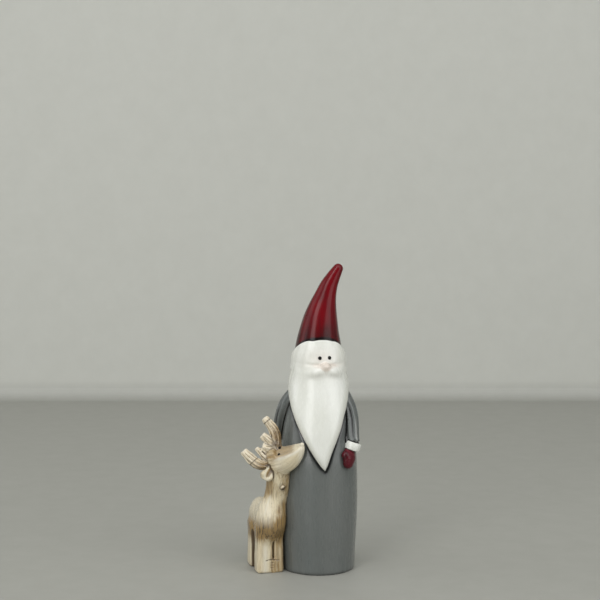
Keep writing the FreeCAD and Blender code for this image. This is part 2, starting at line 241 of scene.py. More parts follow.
def gradient(field, V, reach=0.03):
    corners = np.array([(1, 1, 1), (1, -1, -1), (-1, 1, -1), (-1, -1, 1)], float)
    values = [field(V + c * reach) for c in corners]
    slope = sum(c * v[:, None] for c, v in zip(corners, values)) / (4 * reach)
    return sum(values) / 4, slope


def settle(field, V, rounds=3, limit=0.25):
    """Vertices moved onto a field's zero surface, and their normals."""
    for _ in range(rounds):
        d, g = gradient(field, V)
        V = V - g * np.clip(d / np.maximum((g * g).sum(1), 0.04), -limit, limit)[:, None]
    g = gradient(field, V)[1]
    return V, g / np.maximum(np.linalg.norm(g, axis=1), 1e-9)[:, None]


def skin(field, low, high, step, factor=4, detail=None):
    """Vertices, quads and normals of a field's surface in a box, then settled on its detailed form."""
    low, high = np.array(low, float), np.array(high, float)
    cells = np.ceil((high - low) / (step * factor)).astype(int)
    axes = [low[i] + np.arange(cells[i] + 1) * step * factor for i in range(3)]
    coarse = field(np.stack(np.meshgrid(*axes, indexing="ij"), -1).reshape(-1, 3)).reshape(cells + 1)
    near = np.abs(coarse) < step * factor * 1.35
    corners = [(i, j, k) for i in (0, 1) for j in (0, 1) for k in (0, 1)]
    active = np.zeros(cells, bool)
    for i, j, k in corners:
        active |= near[i : cells[0] + i, j : cells[1] + j, k : cells[2] + k]
    shape = cells * factor + 1
    pick = [np.minimum((np.arange(n) + factor // 2) // factor, cells[i]) for i, n in enumerate(shape)]
    F = coarse[np.ix_(*pick)].copy()
    wanted = np.zeros(shape, bool)
    fine = active.repeat(factor, 0).repeat(factor, 1).repeat(factor, 2)
    wanted[:-1, :-1, :-1] |= fine
    wanted[1:, 1:, 1:] |= fine
    F[wanted] = field(low + np.argwhere(wanted) * step)
    solid = F < 0
    count = np.zeros(shape - 1, np.int8)
    for i, j, k in corners:
        count += solid[i : shape[0] - 1 + i, j : shape[1] - 1 + j, k : shape[2] - 1 + k]
    cell = np.argwhere((count > 0) & (count < 8))
    total, hits = np.zeros((len(cell), 3)), np.zeros(len(cell))
    for a in corners:
        for axis in range(3):
            if a[axis]:
                continue
            way = np.eye(3, dtype=int)[axis]
            fa, fb = F[tuple((cell + a).T)], F[tuple((cell + a + way).T)]
            cross = (fa < 0) != (fb < 0)
            t = fa[cross] / (fa - fb)[cross]
            total[cross] += np.array(a) + t[:, None] * way
            hits[cross] += 1
    V = low + (cell + total / hits[:, None]) * step
    number = np.full(shape - 1, -1, np.int64)
    number[tuple(cell.T)] = np.arange(len(cell))
    quads = []
    for axis, other in enumerate(((1, 2), (2, 0), (0, 1))):
        span = [slice(1, -1)] * 3
        span[axis] = slice(0, -1)
        ahead = list(span)
        ahead[axis] = slice(1, None)
        at = np.argwhere(solid[tuple(span)] != solid[tuple(ahead)])
        at[:, list(other)] += 1
        ring = []
        for back in ((1, 1), (0, 1), (0, 0), (1, 0)):
            c = at.copy()
            c[:, list(other)] -= back
            ring.append(number[tuple(c.T)])
        q = np.stack(ring, 1)
        outwards = ~solid[tuple(at.T)]
        q[outwards] = q[outwards][:, ::-1]
        quads.append(q)
    V, N = settle(detail or field, V)
    return V, np.concatenate(quads), N


def even_normals(Q, N, rounds):
    """Normals averaged with those around them."""
    for _ in range(rounds):
        total = np.zeros_like(N)
        for corner in range(4):
            np.add.at(total, Q[:, corner], N[Q].sum(1))
        N = total / np.maximum(np.linalg.norm(total, axis=1), 1e-9)[:, None]
    return N


def tidy_labels(Q, labels, vertices, kinds, rounds=6):
    """Each face takes the commonest label around it, which clears stray islands and evens the seams."""
    for _ in range(rounds):
        votes = np.zeros((vertices, kinds))
        for corner in range(4):
            np.add.at(votes, (Q[:, corner], labels), 1)
        labels = votes[Q].sum(1).argmax(1)
    return labels


def open_rims(faces):
    """The loops of vertices round a mesh's open edges, in the order of its faces."""
    start, end = faces.ravel(), np.roll(faces, -1, axis=1).ravel()
    size = faces.max() + 1
    edges, at = np.unique(np.minimum(start, end) * size + np.maximum(start, end), return_inverse=True)
    net = np.bincount(at.ravel(), np.where(start < end, 1, -1)).astype(int)
    following = {}
    for edge, times in zip(edges[net != 0], net[net != 0]):
        a, b = sorted(divmod(int(edge), int(size)), reverse=bool(times < 0))
        following.setdefault(a, []).extend([b] * abs(int(times)))
    loops = []
    while following:
        at = first = next(iter(following))
        loop = []
        while at in following:
            loop.append(at)
            onward = following[at].pop()
            if not following[at]:
                del following[at]
            at = onward
            if at == first:
                break
        if at == first and len(loop) > 2:
            loops.append(loop)
    return loops


FAN_SINK = 0.4


def cut_out(V, Q, N, attributes, wanted):
    """One piece of a skin, its open rims closed by fans that lie inside the pieces beside it."""
    used, faces = np.unique(Q[wanted], return_inverse=True)
    faces = faces.reshape(-1, 4)
    V, N = V[used], N[used]
    attributes = {name: values[used] for name, values in attributes.items()}
    all_faces = faces.tolist()
    for loop in open_rims(faces):
        centre = len(V)
        V = np.vstack([V, V[loop].mean(0) - N[loop].mean(0) * FAN_SINK])
        N = np.vstack([N, N[loop].mean(0)])
        attributes = {name: np.concatenate([a, a[loop].mean(0)[None]]) for name, a in attributes.items()}
        all_faces += [[b, a, centre] for a, b in zip(loop, loop[1:] + loop[:1])]
    return V, all_faces, N, attributes


def add_mesh(nodes, V, faces, N, attributes, slot, mat):
    """A piece from vertices in millimetres, named after the first of the CAD nodes that it replaces."""
    name = f"{nodes[0]}_piece"
    mesh = bpy.data.meshes.new(name)
    mesh.from_pydata(((V + FOOT) * MM).tolist(), [], [list(map(int, f)) for f in faces])
    mesh.update()
    for key, values in attributes.items():
        flat = values.ndim == 1
        layer = mesh.attributes.new(key, "FLOAT" if flat else "FLOAT_VECTOR", "POINT")
        layer.data.foreach_set("value" if flat else "vector", values.astype(np.float32).ravel())
    mesh.polygons.foreach_set("use_smooth", [True] * len(mesh.polygons))
    mesh.normals_split_custom_set_from_vertices(N.tolist())
    mesh.materials.append(mat)
    piece = bpy.data.objects.new(name, mesh)
    bpy.context.scene.collection.objects.link(piece)
    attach(piece, "root")
    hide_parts(*nodes)


# ---------------------------------------------------------------- material nodes


class Tree:
    """A node tree, and short ways to add to it."""

    def __init__(self, tree):
        self.nodes = tree.nodes
        self.links = tree.links

    def feed(self, socket, value):
        if isinstance(value, (int, float)):
            socket.default_value = value
        elif isinstance(value, tuple):
            socket.default_value = (*value, 1.0) if len(value) == 3 and socket.type == "RGBA" else value
        else:
            self.links.new(value, socket)

    def add(self, kind, inputs, **settings):
        """A node with these settings, and these values or links at its inputs."""
        node = self.nodes.new(f"ShaderNode{kind}")
        for key, value in settings.items():
            setattr(node, key, value)
        for key, value in inputs.items():
            self.feed(node.inputs[key], value)
        return node


class Shader(Tree):
    """One glazed material."""

    def __init__(self, name):
        self.material = bpy.data.materials.new(name)
        self.material.use_nodes = True
        super().__init__(self.material.node_tree)
        self.bsdf = self.nodes["Principled BSDF"]

    def place(self):
        return self.add("TexCoord", {}).outputs["Object"]

    def read(self, name, output="Fac"):
        """A piece's own attribute."""
        return self.add("Attribute", {}, attribute_name=name).outputs[output]

    def noise(self, vector, scale, detail=3.0, roughness=0.5, distortion=0.0):
        """Cloudy noise. Its scale is in cells a metre, or three of them for streaks."""
        spread = scale if isinstance(scale, tuple) else (scale,) * 3
        place = self.add("Mapping", {"Vector": vector, "Scale": spread}).outputs[0]
        values = {"Vector": place, "Scale": 1.0, "Detail": detail, "Roughness": roughness}
        return self.add("TexNoise", {**values, "Distortion": distortion}).outputs[0]

    def math(self, operation, a, b=0.0, clamp=False):
        return self.add("Math", {0: a, 1: b}, operation=operation, use_clamp=clamp).outputs[0]

    def mix(self, share, a, b):
        return self.add("Mix", {0: share, 6: a, 7: b}, data_type="RGBA").outputs[2]

    def ramp(self, source, *stops):
        node = self.add("ValToRGB", {0: source})
        elements = node.color_ramp.elements
        while len(elements) < len(stops):
            elements.new(0.5)
        for element, (at, value) in zip(elements, stops):
            element.position = at
            element.color = (value, value, value, 1) if isinstance(value, (int, float)) else (*value, 1)
        return node.outputs[0]

    def over(self, colour, source, low, high, share, top):
        """A colour with another over it: none of it up to low in the source, and its full share from high."""
        return self.mix(self.ramp(source, (low, 0.0), (high, share)), colour, top)

    def glaze(self, colour, roughness, height, strength, distance, coat=0.5, coat_roughness=0.05):
        """A fired glaze: its colour, its gloss, and a little unevenness in its surface."""
        bump = self.add("Bump", {"Strength": strength, "Distance": distance, "Height": height})
        values = {"Base Color": colour, "Roughness": roughness, "Normal": bump.outputs[0], "IOR": 1.45}
        values.update({"Coat Weight": coat, "Coat Roughness": coat_roughness, "Coat IOR": 1.5})
        for key, value in values.items():
            self.feed(self.bsdf.inputs[key], value)
        return self.material


def coat_material():
    """Grey glaze, clouded and faintly brushed, with dark glaze pooled in the grooves, painted shade beside
    the beard, the sleeves and the foot, and a painted highlight on the sleeves' folds.
    """
    s = Shader("grey_glaze")
    p = s.place()
    cloud = s.noise(p, (60, 60, 22), 4.0, 0.55)
    brushed = s.noise(p, (420, 420, 60), 4.0, 0.6)
    specks = s.noise(p, 1500, 2.0, 0.5)
    colour = s.ramp(cloud, (0.3, (0.116, 0.130, 0.124)), (0.7, (0.144, 0.153, 0.145)))
    colour = s.over(colour, brushed, 0.5, 0.8, 0.2, (0.165, 0.172, 0.163))
    colour = s.over(colour, specks, 0.62, 0.72, 0.35, (0.06, 0.062, 0.06))
    # pale: a painted highlight on the ridges of the sleeves' folds
    colour = s.mix(s.read("pale"), colour, (0.34, 0.35, 0.33))
    # shade: painted shade beside the beard and the sleeves, in the bottoms of the sleeves' folds and at the
    # foot
    colour = s.mix(s.read("shade"), colour, (0.065, 0.068, 0.066))
    # line: dark glaze in the grooves round the beard, the sleeves and the cuffs, and painted shade in the
    # bottoms of the sleeves' folds
    colour = s.over(colour, s.read("line"), 0.15, 0.6, 1.0, (0.006, 0.007, 0.006))
    roughness = s.ramp(brushed, (0.3, 0.22), (0.7, 0.34))
    return s.glaze(colour, roughness, cloud, 0.3, 0.0004, 0.45, 0.09)


def white_material():
    """Warm white glaze with a blush on the face, and painted shade: grey at the beard's edges, behind and on
    the hair, brownish in the creases under the nose and the moustache.
    """
    s = Shader("white_glaze")
    p = s.place()
    cloud = s.noise(p, (70, 70, 30), 3.0)
    fine = s.noise(p, (500, 500, 160), 3.0)
    specks = s.noise(p, 1300, 2.0, 0.5)
    colour = s.ramp(cloud, (0.3, (0.76, 0.77, 0.70)), (0.7, (0.86, 0.87, 0.82)))
    colour = s.over(colour, specks, 0.66, 0.76, 0.25, (0.55, 0.52, 0.45))
    blush = s.math("MULTIPLY", s.read("blush"), s.math("ADD", s.math("MULTIPLY", cloud, 0.8), 0.4), True)
    colour = s.mix(blush, colour, (0.83, 0.62, 0.50))
    # painted shade, brownish, in the creases under the nose and the moustache and in the fold under the
    # cheeks
    colour = s.mix(s.math("MULTIPLY", s.read("crease"), 0.75), colour, (0.43, 0.35, 0.27))
    # painted shade, grey, along the beard's edges, on the back and on the hair beside the face
    colour = s.mix(s.math("MULTIPLY", s.read("shade"), 0.6), colour, (0.60, 0.60, 0.52))
    colour = s.over(colour, s.read("line"), 0.3, 0.9, 1.0, (0.012, 0.012, 0.011))
    return s.glaze(colour, s.ramp(fine, (0.3, 0.22), (0.7, 0.32)), cloud, 0.3, 0.0005, 0.4, 0.13)


def red_material(name, light, dark, edge):
    """Red glaze that breaks into darker runs and turns nearly black at its edge, with painted shade at the
    sides of the form as the camera sees them.
    """
    s = Shader(name)
    p = s.place()
    runs = s.noise(p, (220, 220, 20), 3.0, 0.55, 0.4)
    cloud = s.noise(p, (90, 90, 40), 3.0)
    specks = s.noise(p, 1600, 2.0)
    shade = s.read("shade")
    colour = s.over(light, runs, 0.42, 0.7, 0.8, dark)
    colour = s.over(colour, cloud, 0.5, 0.8, 0.5, dark)
    colour = s.over(colour, specks, 0.64, 0.74, 0.3, edge)
    # darker towards the hat's rim, and painted shade where the mittens lie against the coat
    colour = s.mix(s.math("MULTIPLY", shade, s.ramp(runs, (0.3, 0.35), (0.6, 0.75))), colour, edge)
    # painted shade: darker towards the sides of the form as the camera sees them, most low on the hat
    turn = s.add("LayerWeight", {"Blend": 0.5})
    side = s.ramp(turn.outputs["Facing"], (0.5, 0.0), (0.85, 1.0))
    colour = s.mix(s.math("MULTIPLY", side, s.math("ADD", s.math("MULTIPLY", shade, 0.7), 0.2)), colour, edge)
    # near black at the hat's rim; on the mittens painted shade where they go into the cuffs and between thumb
    # and palm
    colour = s.mix(s.read("line"), colour, (0.004, 0.002, 0.002))
    s.bsdf.inputs["Specular IOR Level"].default_value = 0.3
    return s.glaze(colour, s.ramp(runs, (0.35, 0.18), (0.65, 0.28)), runs, 0.08, 0.0002, 0.07, 0.12)


def black_material():
    """The raised black dots of the eyes."""
    s = Shader("black_glaze")
    spots = s.noise(s.place(), 900, 2.0)
    colour = s.ramp(spots, (0.3, (0.002, 0.0015, 0.0015)), (0.8, (0.006, 0.005, 0.004)))
    s.bsdf.inputs["Specular IOR Level"].default_value = 0.25
    return s.glaze(colour, s.ramp(spots, (0.3, 0.08), (0.7, 0.14)), spots, 0.1, 0.0001, 0.0)


def deer_material(name, pale, mid, dark):
    """Cream glaze over a brown wash that stays in the carved grain, the hollows and the creases, with painted
    shade under the belly, at the neck's sides, in the creases and between the parts, and painted highlights
    on the chest, a front leg and the head.
    """
    s = Shader(name)
    grain = s.read("grain", "Vector")
    p = s.place()
    lines = s.noise(grain, (0.06, 1.3, 1.0), 5.0, 0.65, 0.8)
    streaks = s.noise(grain, (0.05, 0.45, 1.0), 4.0, 0.6, 0.6)
    cloud = s.noise(p, 120, 3.0)
    specks = s.noise(p, 1400, 2.0)
    ragged = s.math("MULTIPLY", s.math("SUBTRACT", streaks, 0.5), 1.5)
    # the wash attribute holds brown wash, and painted shade under the belly and at the neck's sides
    amount = s.math("ADD", s.read("wash"), ragged)
    colour = s.over(pale, amount, 0.1, 0.75, 1.0, mid)
    cut = s.ramp(lines, (0.49, 0.0), (0.62, 1.0))
    cut = s.math("MULTIPLY", cut, s.math("ADD", s.math("MULTIPLY", amount, 0.7), 0.22, True), True)
    colour = s.mix(cut, colour, dark)
    colour = s.over(colour, cloud, 0.5, 0.8, 0.3, mid)
    colour = s.over(colour, specks, 0.64, 0.74, 0.4, mid)
    # pale: cream where the wash is wiped off, and painted highlights on the chest, a front leg and the head
    colour = s.mix(s.math("MULTIPLY", s.read("pale"), 0.9), colour, (0.76, 0.72, 0.60))
    # dark lines in the carving, and painted shade in the creases, between the parts, under the antlers and
    # round the knot
    colour = s.over(colour, s.read("crease"), 0.1, 0.8, 0.95, dark)
    height = s.math("SUBTRACT", 1.0, s.math("MULTIPLY", lines, 0.6))
    return s.glaze(colour, s.ramp(lines, (0.3, 0.2), (0.7, 0.36)), height, 0.5, 0.0004, 0.45, 0.08)


# ---------------------------------------------------------------- the tomte

COAT_SIDE = [
    (20.3, 0.0), (20.6, 10.0), (21.5, 26.0), (21.8, 42.0), (21.6, 58.0), (20.5, 72.0), (18.7, 84.0),
    (16.2, 94.0), (13.6, 101.0),
]
COAT_WALL = 4.0
FLOOR_THICKNESS = 3.5
DRAIN_RADIUS = 6.0
SKULL_SIDE = [(13.0, 99.0), (13.5, 108.0), (13.8, 114.0), (13.6, 119.0), (12.8, 124.5), (11.6, 130.0)]
HAIR_SIDE = [
    (15.2, 97.0), (16.0, 101.5), (15.5, 107.0), (15.3, 112.0), (15.3, 117.0), (14.6, 121.0), (12.9, 125.0),
    (10.8, 130.0),
]
BEARD_FRONT = [
    (24.0, 54.0), (24.4, 66.0), (23.7, 78.0), (21.8, 89.0), (19.2, 99.0), (17.0, 107.0), (15.8, 112.5),
    (14.8, 117.5),
]
BEARD_TIP = (3.4, 58.2)
BEARD_LEFT_EDGE = [
    (5.0, 61.6), (7.0, 67.5), (9.6, 74.0), (12.1, 80.5), (13.9, 87.0), (15.7, 93.5), (16.7, 100.0),
    (16.2, 107.0), (13.8, 114.0),
]
BEARD_RIGHT_EDGE = [
    (0.9, 61.0), (-3.3, 67.2), (-7.2, 73.8), (-10.7, 80.5), (-13.5, 87.0), (-15.6, 93.5), (-16.7, 100.0),
    (-16.2, 107.0), (-13.8, 114.0),
]
RIM_HEIGHT = 122.6
RIM_SLOPE = 0.43
RIM_LEAN = 0.065
HAT_RUN = [
    (0.0, 117.0, 13.9), (-0.1, 124.5, 12.5), (0.2, 131.0, 11.1), (0.9, 138.0, 9.6), (2.0, 144.5, 7.9),
    (3.6, 151.0, 6.2), (5.6, 157.3, 4.9), (8.2, 162.6, 3.8), (10.8, 167.1, 2.8),
]
FACE_TURN = math.radians(14.0)
EYE = (2.7, -13.5, 118.9)
EYE_RADIUS = 1.0
NOSE = (0.0, -15.3, 114.3)
MOUSTACHE_RUN = [
    (1.0, -14.8, 112.5, 1.3, 1.2), (2.9, -14.9, 111.9, 1.9, 1.7), (5.0, -14.3, 111.2, 1.9, 1.6),
    (7.0, -13.2, 110.4, 1.1, 1.0),
]


def beard_outline():
    left = smooth_line([BEARD_TIP] + BEARD_LEFT_EDGE, 4)
    right = smooth_line([BEARD_TIP] + BEARD_RIGHT_EDGE, 4)
    return np.concatenate([left, right[:0:-1]])


OUTLINE = beard_outline()


def turned_by(P, angle):
    """Points turned about +Z."""
    c, s = math.cos(angle), math.sin(angle)
    return np.stack([P[:, 0] * c - P[:, 1] * s, P[:, 0] * s + P[:, 1] * c, P[:, 2]], 1)


def above_rim(P):
    """How far a point is above the plane of the hat's rim."""
    height = P[:, 2] - RIM_HEIGHT + RIM_SLOPE * P[:, 1] - RIM_LEAN * P[:, 0]
    return height / math.sqrt(1 + RIM_SLOPE**2 + RIM_LEAN**2)


def rim_lip(P):
    """How far the head comes up over the hat's rim: more at the front."""
    return -0.9 + 1.9 * step_up(-P[:, 1], 1.0, 11.5)


LOBES = [Limb([(s * x, y, z, a, b) for x, y, z, a, b in MOUSTACHE_RUN], (0, 1, 0)) for s in (1, -1)]
WHITE_NODES = ["head", "hair", "beard", "left_moustache", "right_moustache", "nose"]


def face_form(P, F):
    """The skull with its brow, its cheeks and the fold under them. F is P turned to the face."""
    d = turned(P, SKULL_SIDE)
    for side in (1, -1):
        d -= 0.55 * bell_at(F, (side * 5.2, -12.8, 116.6), (2.8, 6, 1.4))
        d += 0.22 * bell_at(F, (side * EYE[0], -13.6, 119.2), (1.6, 5, 1.2))
    return d + 0.55 * bell_at(F, (0, -13.6, 114.9), (7.5, 5, 0.7))


def hair_form(P, angle):
    """The hair, gathered in broad soft locks at the sides and the back, and parted round the face."""
    turn = np.degrees(np.arctan2(P[:, 0], P[:, 1]))
    locks = np.sin(turn * 0.19 + 1.2 * np.sin(P[:, 2] * 0.21)) + 0.5 * np.sin(turn * 0.41 + P[:, 2] * 0.11)
    d = turned(P, HAIR_SIDE) + 0.17 * locks * step_up(angle, 55, 105)
    window = 35.0 + 4.0 * np.clip((119 - P[:, 2]) / 5, -1, 1)
    open_face = step_down(angle, window - 20, window + 16) * step_up(P[:, 2], 106.0, 115.0)
    return d + 1.9 * open_face


def beard_form(P, angle):
    """The beard: a long drop laid over the chest, with soft flutes and rounded edges."""
    side = outline(P[:, 0], P[:, 2], OUTLINE)
    fade = plateau(P[:, 2], 64, 78, 100, 112)
    flutes = 0.07 * np.sin(P[:, 0] * 0.55 + 0.6 * np.sin(P[:, 2] * 0.12) + 0.4)
    front = turned(P, BEARD_FRONT) + flutes * fade + 0.7 * step_up(-side, 4.5, 0.0) ** 2
    d = smooth_max(smooth_max(side, front, 1.5), P[:, 1], 1.0)
    return smooth_max(d, P[:, 2] - 113.2 - 2.6 * step_up(angle, 14, 36), 2.4)


def white_forms(P):
    F = turned_by(P, -FACE_TURN)
    angle = np.abs(np.degrees(np.arctan2(F[:, 0], -F[:, 1])))
    ends = np.maximum(above_rim(P) - rim_lip(P), 97.6 - P[:, 2])
    head = smooth_max(face_form(P, F), ends, 0.8)
    hair = smooth_max(hair_form(P, angle), ends, 0.8)
    lobes = [limb.field(F) for limb in LOBES]
    return [head, hair, beard_form(P, angle), *lobes, oval(F, NOSE, (2.7, 2.5, 2.1))]


def white_field(P):
    head, hair, beard, left, right, nose = white_forms(P)
    d = smooth_min(smooth_min(head, hair, 1.8), beard, 2.4)
    d = smooth_min(d, smooth_min(left, right, 1.2), 3.6)
    return smooth_min(d, nose, 1.2)


def seam(fields, width):
    """Near 1 where two neighbouring forms meet, from how alike their distances are."""
    ordered = np.sort(np.stack(fields), axis=0)
    return bell(ordered[1] - ordered[0], width)


SKIN_STEP = 0.36


def build_white(mat):
    """The head, the hair, the beard, the moustache and the nose, which flow into one another."""
    V, Q, N = skin(white_field, (-19, -26, 56), (19, 18, 130), SKIN_STEP)
    head, hair, beard, left, right, nose = white_forms(V)
    F = turned_by(V, -FACE_TURN)
    in_front = F[:, 1] < -6
    lobes = np.minimum(left, right)
    # Painted shade in the creases: under the nose, under and between the moustache's lobes, and in the fold
    # under the cheeks, a little darker on the right.
    under_nose = 0.35 * seam([np.minimum(head, lobes), nose], 0.7) * step_down(V[:, 2], 113.2, 115.0)
    under_lobes = 0.08 * seam([lobes, beard], 0.8) * step_down(V[:, 2], 110.0, 112.5)
    between = 0.25 * seam([left, right], 0.6) * step_down(lobes, 0.6, 1.6)
    fold = (0.38 + 0.03 * F[:, 0]) * bell(V[:, 2] - 115.4 + 0.02 * F[:, 0] ** 2, 0.55)
    fold = fold * step_down(np.abs(F[:, 0]), 5.0, 8.5)
    crease = np.maximum.reduce([under_nose, under_lobes, between, fold]) * in_front
    blush = 0.22 * bell_at(F, (-1.5, -14, 118.0), (6.0, 40, 3.6))
    blush = np.maximum(blush, 0.5 * bell_at(F, (0, -14, 114.9), (6.0, 40, 1.0)))
    blush = np.maximum(blush, 0.5 * step_down(nose, 0.1, 1.3))
    gap = turned(V, COAT_SIDE)
    line = np.where((V[:, 1] < 0) & (V[:, 2] < 101), step_down(gap, 0.3, 0.9), 0.0)
    side = outline(V[:, 0], V[:, 2], OUTLINE)
    # Painted shade, grey: along the beard's edges, on the back below the hat and on the hair beside the face.
    shade = np.where(V[:, 1] < 0, step_down(-side, 0.2, 4.0), 0.4) * (V[:, 2] < 112)
    shade = np.maximum(shade * 0.8, 0.5 * step_up(hair - head, 0.4, -0.6) * step_up(V[:, 2], 100, 112))
    attributes = {"crease": crease, "blush": blush, "line": line, "shade": shade}
    labels = np.stack([f[Q].mean(1) for f in (head, hair, beard, left, right, nose)]).argmin(0)
    labels = tidy_labels(Q, labels, len(V), len(WHITE_NODES))
    for i, node in enumerate(WHITE_NODES):
        slot = "face_glaze" if node in ("head", "nose") else "hair_glaze"
        add_mesh([node], *cut_out(V, Q, N, attributes, labels == i), slot, mat)


def bead(name, field, near, size, slot, mat, attributes=None):
    """A small raised dot of glaze, half sunk where a form's surface is nearest to a point."""
    centre = settle(field, np.array([near], float), 12, 1.0)[0][0]
    radii = (size, size, size * 1.05)
    V, Q, N = skin(lambda P: oval(P, centre, radii), centre - size - 0.4, centre + size + 0.4, size / 6, 2)
    extra = {}
    for key, value in (attributes or {}).items():
        extra[key] = value(V - centre) if callable(value) else np.full(len(V), value)
    add_mesh([name], V, Q, N, extra, slot, mat)


def build_eyes(mat):
    for name, side in zip(SIDES, (1, -1)):
        near = turned_by(np.array([(side * EYE[0], EYE[1], EYE[2])]), FACE_TURN)[0]
        bead(f"{name}_eye", white_field, near, EYE_RADIUS, "eye_glaze", mat)


def build_hat(mat):
    """The tall hat, bent to the left at its tip, with shallow uneven flutes from the modelling."""
    body = Limb([(x, 0, z, r) for x, z, r in HAT_RUN], (0, 1, 0), 5)

    def field(P):
        angle = np.arctan2(P[:, 0], -P[:, 1])
        flutes = 0.08 * np.sin(angle * 3 + P[:, 2] * 0.05)
        flat = 0.15 * bell(angle - 0.15, 0.4) * step_down(P[:, 2], 140, 160)
        side = body.field(P) + flutes * step_down(P[:, 2], 140, 165) + flat
        return smooth_max(side, -above_rim(P) - 1.6, 0.7)

    V, Q, N = skin(field, (-15, -15, 116), (16, 15, 172), SKIN_STEP)
    N = even_normals(Q, N, 5)
    rise = above_rim(V)
    # line: the rim's near-black edge; shade: darker towards the rim, and how much painted shade the hat's
    # sides take
    attributes = {
        "line": step_down(rise - rim_lip(V), 0.7, 2.2),
        "shade": 0.15 + 0.85 * step_down(rise, 0.5, 15),
    }
    add_mesh(["hat"], V, Q, N, attributes, "hat_glaze", mat)


def around(angle, radius, height):
    """A point about the tomte's axis; angle 0 is the front and 90 its left."""
    a = math.radians(angle)
    return (radius * math.sin(a), -radius * math.cos(a), height)


# Each arm: its sleeve from shoulder to wrist, the middle and direction of its cuff, its palm and its thumb.
ARMS = {
    "left": {
        "sleeve": [
            (84, 13.0, 97.2, 4.6), (79, 15.8, 91.5, 4.9), (71, 18.3, 84.0, 4.7), (60, 20.6, 74.5, 4.4),
        ],
        "cuff": (56.5, 22.2, 70.3),
        "along": (-0.32, -0.12, -0.94),
        "palm": [(52.0, 21.8, 67.2, 4.2, 2.4), (47.6, 22.7, 64.2, 4.5, 2.8), (44.4, 22.9, 61.0, 3.4, 2.5)],
        "thumb": [(44.5, 22.3, 64.2, 1.9), (39.6, 22.3, 66.2, 1.8)],
    },
    "right": {
        "sleeve": [
            (-88, 13.2, 97.2, 4.6), (-93, 17.0, 91.5, 4.9), (-98, 19.9, 83.0, 4.7),
            (-101, 21.2, 73.5, 4.3),
        ],
        "cuff": (-102, 22.0, 69.5),
        "along": (0.04, -0.22, -0.97),
        "palm": [(-100, 22.2, 67.6, 3.4, 2.4), (-98, 22.4, 63.6, 3.9, 2.7), (-96, 22.3, 60.0, 3.0, 2.3)],
        "thumb": [(-92.5, 22.2, 63.4, 1.5), (-88.5, 22.3, 65.6, 1.5)],
    },
}
CUFF_RADIUS = 4.5
CUFF_LENGTH = 4.5
CUFF_ROUNDING = 0.6


